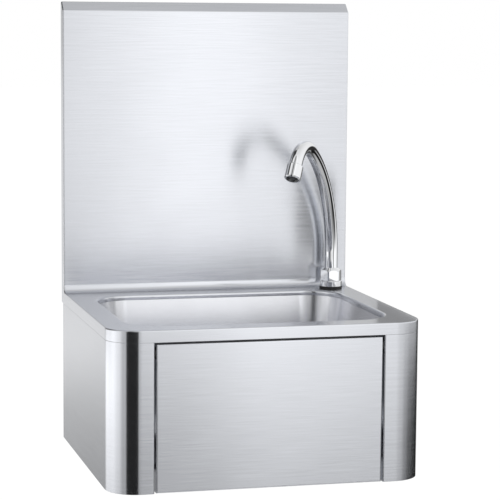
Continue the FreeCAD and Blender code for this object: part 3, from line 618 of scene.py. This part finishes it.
# ---- geometry trees --------------------------------------------------------------
@dataclass
class Tree:
    """A Geometry Nodes tree with named inputs, put on one piece and settled into its mesh."""

    name: str
    sizes: dict[str, float | int] = field(default_factory=dict)

    def __post_init__(self) -> None:
        """Makes the tree with its inputs."""
        self.tree = bpy.data.node_groups.new(self.name, "GeometryNodeTree")
        face = self.tree.interface
        face.new_socket("Geometry", in_out="INPUT", socket_type="NodeSocketGeometry")
        face.new_socket("Geometry", in_out="OUTPUT", socket_type="NodeSocketGeometry")
        face.new_socket("Material", in_out="INPUT", socket_type="NodeSocketMaterial")
        for size, value in self.sizes.items():
            kind = "NodeSocketInt" if isinstance(value, int) else "NodeSocketFloat"
            face.new_socket(size, in_out="INPUT", socket_type=kind)
        self.given = add(self.tree, "NodeGroupInput")

    def size(self, name: str) -> NodeSocket:
        """The output socket that carries one input."""
        return self.given.outputs[name]

    def close(self, result: Node) -> None:
        """Ends the tree: instances are made real, and the material is set.

        Args:
            result: The node that gives the last shape.
        """
        real = add(self.tree, "GeometryNodeRealizeInstances", {"Geometry": result})
        welded = add(self.tree, "GeometryNodeMergeByDistance", {"Geometry": real, "Distance": TREE_WELD})
        inputs = {"Geometry": welded, "Material": self.size("Material")}
        add(self.tree, "NodeGroupOutput", {0: add(self.tree, "GeometryNodeSetMaterial", inputs)})

    def put_on(self, piece: Object, material: Material) -> Object:
        """Runs the tree on a piece.

        Args:
            piece: The object that takes the modifier.
            material: The material that the tree sets.

        Returns:
            The object with the tree's result as its plain mesh.
        """
        modifier = piece.modifiers.new(self.name, "NODES")
        modifier.node_group = self.tree
        items = self.tree.interface.items_tree
        known = {item.name: item.identifier for item in items if item.in_out == "INPUT"}
        modifier[known["Material"]] = material
        for size, value in self.sizes.items():
            modifier[known[size]] = value
        return settled(piece)


@dataclass(frozen=True)
class PiercedRound:
    """A round plate with a ring of holes: one wedge with one hole, repeated with Geometry Nodes.

    Sizes are in millimetres, and heights are along the axis. The rim runs from the
    plate's top round its outside to its underside, and the bore back up inside.
    Without a bore the plate closes in its middle. The corner is the angle, in degrees,
    from which an edge stays sharp.
    """

    name: str
    count: int
    inner: float
    outer: float
    hole_circle: float
    hole: float
    hole_edge: float
    top: float
    under: float
    rim: Pairs = ()
    arc_steps: int = 6
    side_steps: int = 5
    match: float = 1e5
    corner: float = 24.0

    def wedge(self) -> Object:
        """Makes one wedge about the upright axis.

        Returns:
            The wedge, open where the next one joins it.
        """
        mesh = bmesh.new()
        corners: dict[tuple[int, ...], BMVert] = {}

        def at(*spot: float) -> BMVert:
            """Finds the corner at one place, or makes it.

            Args:
                spot: The place in millimetres.

            Returns:
                The corner.
            """
            key = tuple(round(c * self.match) for c in spot)
            if key not in corners:
                corners[key] = mesh.verts.new([c * MM for c in spot])
            return corners[key]

        half = pi / self.count
        turns = [half * (2.0 * k / self.arc_steps - 1.0) for k in range(self.arc_steps + 1)]
        width = self.outer - self.inner
        reach = [self.inner + width * k / self.side_steps for k in range(self.side_steps + 1)]
        outline = [(r * cos(half), -r * sin(half)) for r in reach[:-1]]
        outline += [(self.outer * cos(a), self.outer * sin(a)) for a in turns[:-1]]
        outline += [(r * cos(half), r * sin(half)) for r in reversed(reach[1:])]
        outline += [(self.inner * cos(a), self.inner * sin(a)) for a in reversed(turns[1:])]
        soft, ease = self.hole_edge, 0.3 * self.hole_edge
        rings = [
            (None, self.top), (self.hole + soft, self.top), (self.hole + ease, self.top - ease),
            (self.hole, self.top - soft), (self.hole, self.under + soft),
            (self.hole + ease, self.under + ease), (self.hole + soft, self.under), (None, self.under),
        ]
        loops = []
        for radius, height in rings:
            loop = []
            for x, y in outline:
                angle = atan2(y, x - self.hole_circle)
                if radius is not None:
                    x, y = self.hole_circle + radius * cos(angle), radius * sin(angle)
                loop.append(at(x, y, height))
            loops.append(loop)
        bridge(mesh, loops)
        outside = [(self.outer, self.top), *self.rim, (self.outer, self.under)]
        for (r, z), (out, low) in zip(outside, outside[1:]):
            for a, b in zip(turns, turns[1:]):
                spots = [(r, z, a), (out, low, a), (out, low, b), (r, z, b)]
                mesh.faces.new([at(q * cos(t), q * sin(t), h) for q, h, t in spots])
        for height, order in ((self.top, 1), (self.under, -1)):
            for a, b in zip(turns, turns[1:]):
                edge = [at(self.inner * cos(t), self.inner * sin(t), height) for t in (a, b)]
                mesh.faces.new([at(0.0, 0.0, height), *edge][::order])
        data = bpy.data.meshes.new(self.name)
        mesh.to_mesh(data)
        mesh.free()
        return link(data, self.name)

    def build(self, place: Matrix, material: Material) -> Object:
        """Repeats the wedge round its axis and puts the round in its place.

        Args:
            place: Where the axis goes.
            material: The material that the tree sets.

        Returns:
            The closed round.
        """
        tree = Tree(self.name + "_round", {"Count": self.count})
        nodes = tree.tree
        points = add(nodes, "GeometryNodeMeshLine", {"Count": tree.size("Count"), "Offset": (0.0, 0.0, 0.0)})
        share = add(nodes, "ShaderNodeMath", {0: 2.0 * pi, 1: tree.size("Count")}, operation="DIVIDE")
        index = add(nodes, "GeometryNodeInputIndex")
        angle = add(nodes, "ShaderNodeMath", {0: index, 1: share}, operation="MULTIPLY")
        turn = add(nodes, "ShaderNodeCombineXYZ", {"Z": angle})
        inputs = {"Points": points, "Instance": tree.given, "Rotation": turn}
        tree.close(add(nodes, "GeometryNodeInstanceOnPoints", inputs))
        piece = tree.put_on(self.wedge(), material)
        piece.data.transform(place)
        mesh = bmesh.new()
        mesh.from_mesh(piece.data)
        return shaded(mesh, piece, self.corner)


@dataclass(frozen=True)
class Pipe:
    """A round section swept along a smooth line with Geometry Nodes, hollow or solid.

    Sizes are in metres. Its corner is the angle, in degrees, from which an edge stays sharp.
    """

    name: str
    points: tuple[Vector, ...]
    radius: float
    corner: float
    sides: int
    wall: float = 0.0

    def build(self, material: Material) -> Object:
        """Makes the pipe, closed at both ends.

        Args:
            material: The material that the tree sets.

        Returns:
            The pipe, with a map named "braid": u runs round it, v along it in metres.
        """
        line = bpy.data.curves.new(self.name, "CURVE")
        line.dimensions = "3D"
        line.twist_mode = "MINIMUM"
        spline = line.splines.new("POLY")
        spline.points.add(len(self.points) - 1)
        for mark, point in zip(spline.points, self.points):
            mark.co = (*point, 1.0)
        piece = link(line, self.name)
        tree = Tree(self.name + "_sweep", {"Radius": self.radius, "Wall": self.wall, "Sides": self.sides})
        nodes = tree.tree
        skins = []
        inputs = {0: tree.size("Radius"), 1: tree.size("Wall")}
        bore = add(nodes, "ShaderNodeMath", inputs, operation="SUBTRACT")
        for radius in (tree.size("Radius"), bore)[:2 if self.wall else 1]:
            ring = {"Resolution": tree.size("Sides"), "Radius": radius}
            ring = add(nodes, "GeometryNodeCurvePrimitiveCircle", ring)
            inputs = {"Curve": tree.given, "Profile Curve": ring, "Fill Caps": not self.wall}
            skins.append(add(nodes, "GeometryNodeCurveToMesh", inputs))
        if self.wall:
            turned = add(nodes, "GeometryNodeFlipFaces", {"Mesh": skins[1]})
            both = add(nodes, "GeometryNodeJoinGeometry")
            for skin in (turned, skins[0]):
                feed(both, {0: skin})
            skins = [both]
        tree.close(skins[0])
        return self.finish(tree.put_on(piece, material))

    def finish(self, piece: Object) -> Object:
        """Closes the ends of a hollow pipe, writes its map and shades it smooth.

        Args:
            piece: The swept pipe.

        Returns:
            The same object.
        """
        mesh = bmesh.new()
        mesh.from_mesh(piece.data)
        middle = (self.points[0] + self.points[-1]) / 2.0
        open_edges = [e for e in mesh.edges if len(e.link_faces) == 1]
        for end in (self.points[0], self.points[-1]):
            ring = [e for e in open_edges if (e.verts[0].co - end).length < (middle - end).length]
            if ring:
                bmesh.ops.bridge_loops(mesh, edges=ring)
        bmesh.ops.recalc_face_normals(mesh, faces=mesh.faces)
        travel = [0.0]
        for a, b in zip(self.points, self.points[1:]):
            travel.append(travel[-1] + (b - a).length)
        layer = mesh.loops.layers.uv.new("braid")
        for face in mesh.faces:
            for point in face.loops:
                ring, step = divmod(point.vert.index % (self.sides * len(self.points)), self.sides)
                wraps = step == 0 and any(v.index % self.sides > self.sides / 2 for v in face.verts)
                point[layer].uv = (1.0 if wraps else step / self.sides, travel[ring])
        return shaded(mesh, piece, self.corner, even=False)


def bent_line(corners: Sequence[Vector], radius: float, steps: int = 14) -> tuple[Vector, ...]:
    """A line through straight runs with a round bend at each inner corner.

    Args:
        corners: The corners of the line.
        radius: The bends' radius.
        steps: Points on each bend.

    Returns:
        Close points along the line.
    """
    points = [corners[0]]
    for before, here, after in zip(corners, corners[1:], corners[2:]):
        come, leave = (here - before).normalized(), (after - here).normalized()
        turn = come.angle(leave)
        back = radius * tan(turn / 2.0)
        centre = here - come * back + (leave - come * come.dot(leave)).normalized() * radius
        inward = (centre - (here - come * back)).normalized()
        for k in range(steps + 1):
            angle = turn * k / steps
            points.append(centre - inward * (radius * cos(angle)) + come * (radius * sin(angle)))
    points.append(corners[-1])
    return tuple(points)


# ---- the sink's assemblies -------------------------------------------------------
@dataclass
class Assembly:
    """Pieces of the sink that belong together. Sizes are in millimetres."""

    palette: Palette

    def take(
        self, node: str, made: str, coat: Coat, body: Body = Body.SINK, start: str = "", **how: Any
    ) -> None:
        """Dresses a refined copy of a node, named after the node, or another start, and how it was made."""
        dressed(refined(node, f"{start or node}_{made}", **how), coat, body, node)


@dataclass
class Housing(Assembly):
    """Splashback, deck and rim in one sheet, both side panels and the rails inside."""

    broken_edge: float = 0.35

    def build(self) -> None:
        """Makes the sheets and rails."""
        for node in ("top_sheet", "side_panel_left", "side_panel_right"):
            self.take(node, "skin", self.palette.brushed, edge=self.broken_edge)
        for node in ("rear_rail", "front_rail", "valve_bar"):
            self.take(node, "folded", self.palette.mill)
        self.take("hinge_pins", "turned", self.palette.machined)
        for node in ("stop_pads", "travel_buffers"):
            self.take(node, "rubber", self.palette.rubber)


@dataclass
class Basin(Assembly):
    """The pressed bowl with its strainer and waste fitting."""

    holes: int = 8
    hole: float = 3.2
    hole_edge: float = 0.5
    hole_circle: float = 12.5
    centre: float = 5.0
    dish: float = 18.0
    dish_top: float = -26.8
    dish_under: float = -29.0
    rim: Pairs = (
        (21.5, -23.8), (32.0, -23.8), (34.4, -24.9), (35.0, -25.3), (35.0, -26.0),
        (22.0, -26.0), (22.0, -35.0), (20.0, -35.0), (20.0, -29.0),
    )
    tail: Thread = Thread((*DRAIN_AT, -92.0), length=32.0, radius=20.95, pitch=2.309)

    def build(self) -> None:
        """Makes the bowl and what sits in its drain."""
        self.take("bowl", "pressed", self.palette.bowl, corner=24.0)
        strainer = PiercedRound(
            "strainer_pierced", self.holes, self.centre, self.dish, self.hole_circle, self.hole,
            self.hole_edge, self.dish_top, self.dish_under, self.rim,
        )
        drain = Matrix.Translation([c * MM for c in (*DRAIN_AT, 0.0)])
        steel = self.palette.machined
        dressed(strainer.build(drain, steel.material), steel, Body.SINK, "strainer")
        self.take("waste_screw", "turned", steel)
        self.take("waste_body", "cast", self.palette.brass, threads=(self.tail,))
        self.take("waste_gasket", "ring", self.palette.rubber)


@dataclass
class KneePanel(Assembly):
    """The push panel with the parts on its back."""

    def build(self) -> None:
        """Makes the panel, rib, striker and bushes."""
        self.take("knee_panel", "skin", self.palette.brushed, Body.KNEE_PANEL)
        self.take("panel_rib", "folded", self.palette.mill, Body.KNEE_PANEL)
        self.take("striker_pad", "acetal", self.palette.acetal, Body.KNEE_PANEL)
        self.take("hinge_bushes", "nylon", self.palette.nylon, Body.KNEE_PANEL)


@dataclass
class KneeValve(Assembly):
    """The self-closing valve with its back nut, push rod and hose nuts."""

    supplies: tuple[Thread, ...] = tuple(
        Thread((x, VALVE_Y, -93.0), length=15.0, radius=10.48, pitch=1.814) for x in (-32.0, 32.0)
    )

    def build(self) -> None:
        """Makes the valve."""
        self.take("valve_body", "cast", self.palette.brass, threads=self.supplies)
        self.take("valve_nut", "hex", self.palette.brass)
        self.take("valve_plunger", "turned", self.palette.machined, Body.PLUNGER)
        for node in ("hose_nut_valve", "hose_nut_tap"):
            self.take(node, "hex", self.palette.chrome)


@dataclass
class Tap(Assembly):
    """What holds the spout on the deck."""

    nut_edge: float = 0.4
    stud: Thread = Thread((*TAP_AT, 56.0), length=49.0, radius=10.48, pitch=1.814)

    def build(self) -> None:
        """Makes the gasket, base, gland nut and the fixings under the deck."""
        self.take("tap_gasket", "rubber", self.palette.rubber)
        self.take("tap_shank", "plated", self.palette.chrome, threads=(self.stud,), start="tap_base")
        self.take("tap_nut", "plated", self.palette.chrome, corner=20.0, edge=self.nut_edge)
        self.take("deck_washer", "flat", self.palette.mill)
        self.take("deck_nut", "hex", self.palette.brass)


@dataclass
class Spout(Assembly):
    """The gooseneck tube with its aerator: a stem, a long easy arc, a tight arc and a short straight end.

    Angles are in degrees. The tube lies in one upright plane.
    """

    stem: Pair = TAP_AT
    foot: float = 108.3
    stem_top: float = 150.5
    stem_steps: int = 9
    turn: float = 53.6
    arcs: Pairs = ((168.0, 62.5), (40.4, 85.6))
    end: float = 10.0
    radius: float = 9.0
    wall: float = 1.3
    cup_length: float = 20.0
    cup_overlap: float = 6.0
    insert_recess: float = 1.5
    insert_thickness: float = 5.0
    insert_radius: float = 9.34
    jets: int = 9
    jet: float = 1.0
    jet_edge: float = 0.25
    jet_circle: float = 5.8
    jet_field: Pair = (3.0, 7.6)
    fewest_steps: int = 24

    def heading(self) -> Vector:
        """Where the spout points, seen from above."""
        turn = radians(self.turn)
        return Vector((-cos(turn), -sin(turn), 0.0))

    def line(self) -> tuple[tuple[Vector, ...], Vector]:
        """Follows the tube's middle.

        Returns:
            The middle line in metres, and its direction at the end.
        """
        rise_per_step = (self.stem_top - self.foot) / self.stem_steps
        marks = [(0.0, self.foot + rise_per_step * k) for k in range(self.stem_steps + 1)]
        reach, height, lean = 0.0, self.stem_top, 0.0
        for radius, degrees in self.arcs:
            steps = max(self.fewest_steps, round(degrees))
            for k in range(1, steps + 1):
                turned_to = lean + radians(degrees) * k / steps
                out = reach + radius * (cos(lean) - cos(turned_to))
                rise = height + radius * (sin(turned_to) - sin(lean))
                marks.append((out, rise))
            reach, height, lean = out, rise, turned_to
        marks.append((reach + self.end * sin(lean), height + self.end * cos(lean)))
        base = Vector((*self.stem, 0.0))
        points = tuple((base + self.heading() * out + Vector((0.0, 0.0, rise))) * MM for out, rise in marks)
        return points, (points[-1] - points[-2]).normalized()

    def build(self) -> None:
        """Makes the tube and the aerator."""
        points, along = self.line()
        chrome, plastic = self.palette.chrome, self.palette.acetal
        tube = Pipe("spout_tube_bent", points, self.radius * MM, 40.0, sides=64, wall=self.wall * MM)
        dressed(tube.build(chrome.material), chrome, Body.SPOUT, "spout_tube")
        self.take("aerator_housing", "plated", chrome, Body.SPOUT, start="aerator_cup")
        rim = ((self.insert_radius, self.insert_thickness), (self.insert_radius, 0.0))
        jets = PiercedRound(
            "aerator_jets", self.jets, *self.jet_field, self.jet_circle, self.jet, self.jet_edge,
            self.insert_thickness, 0.0, rim, corner=30.0,
        )
        past_end = self.cup_length - self.cup_overlap - self.insert_recess - self.insert_thickness
        start = points[-1] + along * past_end * MM
        place = Matrix.Translation(start) @ along.to_track_quat("Z", "Y").to_matrix().to_4x4()
        dressed(jets.build(place, plastic.material), plastic, Body.SPOUT, "aerator_insert")
        self.take("aerator_seal", "rubber", self.palette.rubber, Body.SPOUT)


@dataclass
class InnerHose(Assembly):
    """The braided hose from the valve to the tap, between two union nuts."""

    corners: tuple[Triple, ...] = (
        (58.3, VALVE_Y, -58.0), (TAP_AT[0], VALVE_Y, -58.0), (*TAP_AT, -58.0), (*TAP_AT, 55.7),
    )
    bend: float = 48.0
    radius: float = 6.0

    def build(self) -> None:
        """Makes the hose."""
        braid = self.palette.braid
        points = bent_line([Vector(c) * MM for c in self.corners], self.bend * MM)
        hose = Pipe("inner_hose_braided", points, self.radius * MM, 50.0, sides=36)
        dressed(hose.build(braid.material), braid, Body.SINK, "inner_hose")


# ---- studio ----------------------------------------------------------------------
def outward(centre: Pair, heading: float, reach: float) -> Pair:
    """The place at a reach from a centre, seen from above, at a heading in degrees from straight in front."""
    turn = radians(heading)
    return centre[0] - reach * sin(turn), centre[1] - reach * cos(turn)


@dataclass(frozen=True)
class Card:
    """A flat upright card near the sink, between two headings about a corner."""

    corner: Pair
    headings: Pair
    heights: Pair
    level: float
    reach: float = 0.17


@dataclass(frozen=True)
class Ring:
    """How bright the surround looks at one height: pairs of a heading and a level, where 1 is white.

    Headings are degrees from straight in front, towards the left.
    """

    height: float
    radius: float
    levels: Pairs
    share: float = 1.0

    def level_at(self, heading: float) -> float:
        """Reads the ring smoothly between its named levels.

        Args:
            heading: Degrees from straight in front.

        Returns:
            How bright the ring is there.
        """
        for (a, low), (b, high) in zip(self.levels, self.levels[1:]):
            if a <= heading <= b:
                step = (heading - a) / (b - a)
                return self.share * (low + (high - low) * step * step * (3.0 - 2.0 * step))
        return 0.0


@dataclass
class Surround:
    """Rings of soft boxes and dark cards round the sink, joined to one wall, which only reflections see."""

    middle: float = -0.3
    radius: float = 1.6
    columns: int = 180
    low: Pairs = (
        (-180, 0.60), (-141, 0.50), (-133, 0.02), (-100, 0.02), (-77, 0.05), (-61, 0.31), (-42, 0.84),
        (-23, 1.20), (-15, 1.42), (-7, 0.90), (4, 0.78), (27, 0.72), (30, 0.02), (42, 0.02),
        (45, 0.75), (60, 0.80), (76, 1.50), (102, 2.00), (137, 2.00), (150, 1.00), (161, 0.80), (180, 0.75),
    )
    high: Pairs = (
        (-180, 0.58), (-142, 0.56), (-135, 0.04), (-122, 0.03), (-115, 0.80), (-100, 1.05), (-60, 1.20),
        (-40, 1.05), (-28, 1.08), (-14, 1.48), (-6, 1.25), (2, 0.80), (14, 0.64), (27, 0.62), (30, 0.02),
        (42, 0.02), (45, 0.62), (60, 0.66), (72, 0.95), (94, 1.15), (118, 0.60), (140, 0.20),
        (150, 0.30), (157, 0.80), (180, 0.80),
    )
    top: Pairs = (
        (-180, 0.60), (-160, 0.85), (-60, 1.00), (-28, 1.10), (-15, 1.34), (-8, 1.10), (4, 0.75),
        (16, 0.60), (27, 0.60), (30, 0.02), (42, 0.02), (45, 0.60), (60, 0.70), (90, 1.15),
        (112, 0.06), (150, 0.06), (160, 0.60), (180, 0.60),
    )
    foot: Pairs = (
        (-180, 0.30), (-150, 0.10), (-125, 0.10), (-110, 0.50), (-60, 0.55), (-15, 0.50), (4, 0.40),
        (20, 0.60), (60, 0.60), (80, 0.30), (180, 0.30),
    )
    even: Pairs = ((-180, 0.80), (180, 0.80))
    cards: tuple[Card, ...] = (
        Card((-0.175, -0.33), (-2.0, 41.0), (-0.45, 0.14), 0.02),
        Card((0.081, -0.225), (-128.0, -52.0), (0.115, 0.24), 0.35),
    )

    def rings(self) -> tuple[Ring, ...]:
        """Lists the rings.

        Returns:
            The rings from the floor to the ceiling.
        """
        wall = (
            (-0.70, self.low, 0.32), (-0.46, self.low, 0.47), (-0.31, self.low, 0.67),
            (-0.19, self.low, 1.10), (-0.06, self.high, 0.99), (0.10, self.high, 0.99), (0.32, self.high, 1.00),
            (0.42, self.top, 1.04), (0.80, self.top, 1.05), (1.80, self.top, 0.95),
        )
        return (
            Ring(-0.78, 0.4, self.foot), Ring(-0.78, 1.45, self.foot),
            *(Ring(height, self.radius, levels, share) for height, levels, share in wall),
            Ring(2.40, 0.6, self.top, 0.8), Ring(2.42, 0.5, self.even), Ring(2.42, 0.0, self.even),
        )

    def build(self) -> None:
        """Makes the wall and the cards: black for the left post's stripe, grey right of the bowl."""
        rings = self.rings()
        points, levels, faces = [], [], []
        for k in range(self.columns):
            heading = 360.0 * k / self.columns - 180.0
            for ring in rings:
                points.append((*outward((0.0, self.middle), heading, ring.radius), ring.height))
                levels.append(ring.level_at(heading))
            here, after = k * len(rings), (k + 1) % self.columns * len(rings)
            for row in range(len(rings) - 1):
                faces.append((here + row, after + row, after + row + 1, here + row + 1))
        self.glow("surround", points, faces, levels)
        for k, card in enumerate(self.cards):
            ends = [outward(card.corner, heading, card.reach) for heading in card.headings]
            points = [(x, y, z) for z in card.heights for x, y in ends]
            self.glow(f"card_{k + 1}", points, [(0, 1, 3, 2)], [card.level] * 4)

    def glow(self, name: str, points: list, faces: list, levels: list[float]) -> None:
        """Makes one sheet that glows by the level of its points, and that only reflections see.

        Args:
            name: The sheet's name.
            points: Its corners.
            faces: Its faces.
            levels: How bright each corner is, where 1 is white.
        """
        data = bpy.data.meshes.new(name)
        data.from_pydata(points, [], faces)
        data.attributes.new("level", "FLOAT", "POINT").data.foreach_set("value", levels)
        sheet = link(data, name)
        material, tree = blank(name + "_glow")
        level = add(tree, "ShaderNodeAttribute", attribute_name="level").outputs["Fac"]
        face = add(tree, "ShaderNodeEmission", {"Color": WHITE, "Strength": level})
        add(tree, "ShaderNodeOutputMaterial", {"Surface": face})
        material.cycles.emission_sampling = "NONE"
        data.materials.append(material)
        sheet.visible_camera = False
        sheet.visible_diffuse = False
        sheet.visible_shadow = False


@dataclass
class Studio:
    """Camera, floor and lamps. None of it is part of the sink."""

    camera_at: Triple = (-0.6356, -2.6900, 0.4835)
    yaw: float = 14.61
    down: float = 6.81
    roll: float = 0.44
    lens: float = 144.23
    sensor: float = 36.0
    floor_height: float = -0.80
    floor_span: float = 30.0
    floor_lift: float = 0.35
    world_light: float = 0.75
    lamps: tuple[tuple[str, Triple, float], ...] = (
        ("key_left", (-2.0, -2.2, 1.8), 1.6), ("fill_right", (1.8, -2.4, 1.2), 0.9),
    )
    lamp_size: float = 1.6
    lamp_aim: Triple = (0.0, -0.2, 0.1)

    def build(self) -> None:
        """Makes the studio."""
        self.camera()
        self.world()
        self.floor()
        for name, place, level in self.lamps:
            self.lamp(name, place, level)
        Surround().build()

    def camera(self) -> None:
        """Makes the camera from its heading, downward look and roll."""
        yaw, down, roll = (radians(a) for a in (self.yaw, self.down, self.roll))
        forward = Vector((sin(yaw) * cos(down), cos(yaw) * cos(down), -sin(down)))
        right = Vector((cos(yaw), -sin(yaw), 0.0))
        upward = right.cross(forward)
        x = cos(roll) * right + sin(roll) * upward
        y = -sin(roll) * right + cos(roll) * upward
        data = bpy.data.cameras.new("camera")
        data.sensor_width = self.sensor
        data.lens = self.lens
        camera = link(data, "camera")
        turn = Matrix((x, y, -forward)).transposed().to_4x4()
        camera.matrix_world = Matrix.Translation(self.camera_at) @ turn
        bpy.context.scene.camera = camera
        bpy.context.scene.view_settings.view_transform = "Standard"

    def seen(self, tree: NodeTree) -> Node:
        """Tells direct sight from scattered light.

        Args:
            tree: The tree that takes the nodes.

        Returns:
            A number that is 1 for rays from the camera, a mirror or glass, and 0 for the rest.
        """
        path = add(tree, "ShaderNodeLightPath")
        rays = [path.outputs[f"Is {kind} Ray"] for kind in ("Camera", "Glossy", "Transmission")]
        first = add(tree, "ShaderNodeMath", {0: rays[0], 1: rays[1]}, operation="MAXIMUM")
        return add(tree, "ShaderNodeMath", {0: first, 1: rays[2]}, operation="MAXIMUM")

    def world(self) -> None:
        """A white world that lights at a plain level."""
        world = bpy.data.worlds.new("studio")
        bpy.context.scene.world = world
        world.use_nodes = True
        world.cycles.sampling_method = "NONE"
        tree = world.node_tree
        tree.nodes.clear()
        inputs = {"Value": self.seen(tree), "To Min": self.world_light, "To Max": 1.0}
        level = add(tree, "ShaderNodeMapRange", inputs)
        light = add(tree, "ShaderNodeBackground", {"Color": WHITE, "Strength": level})
        add(tree, "ShaderNodeOutputWorld", {"Surface": light})

    def floor(self) -> None:
        """A plain pale floor, well below the sink, that keeps its shadow."""
        span = self.floor_span
        corners = ((-span, -span), (span, -span), (span, span), (-span, span))
        data = bpy.data.meshes.new("floor")
        data.from_pydata([(x, y, self.floor_height) for x, y in corners], [], [(0, 1, 2, 3)])
        floor = link(data, "floor")
        material, tree = blank("floor_pale")
        plain = add(tree, "ShaderNodeBsdfDiffuse", {"Color": linear("#F2F2F2")})
        lift = add(tree, "ShaderNodeMath", {0: self.seen(tree), 1: self.floor_lift}, operation="MULTIPLY")
        glow = add(tree, "ShaderNodeEmission", {"Color": WHITE, "Strength": lift})
        both = add(tree, "ShaderNodeAddShader", {0: plain, 1: glow})
        add(tree, "ShaderNodeOutputMaterial", {"Surface": both})
        material.cycles.emission_sampling = "NONE"
        data.materials.append(material)

    def lamp(self, name: str, place: Sequence[float], level: float) -> None:
        """Hangs one square soft lamp that lights but that neither the camera nor reflections see.

        Args:
            name: The lamp's name.
            place: Where its middle is.
            level: How bright its face is, where 1 is white.
        """
        data = bpy.data.lights.new(name, "AREA")
        data.shape = "RECTANGLE"
        data.size = self.lamp_size
        data.size_y = self.lamp_size
        data.energy = level * pi * self.lamp_size ** 2
        lamp = link(data, name)
        lamp.location = place
        aim = Vector(self.lamp_aim) - Vector(place)
        lamp.rotation_euler = aim.to_track_quat("-Z", "Y").to_euler()
        lamp.visible_camera = False
        lamp.visible_glossy = False


def main() -> None:
    """Builds the studio and every sub-assembly of the sink."""
    logging.basicConfig(level=logging.INFO, format="%(message)s")
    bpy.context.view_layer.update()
    Studio().build()
    palette = Palette()
    for part in (Housing, Basin, KneePanel, KneeValve, Tap, Spout, InnerHose):
        part(palette).build()


if __name__ == "__main__":
    main()
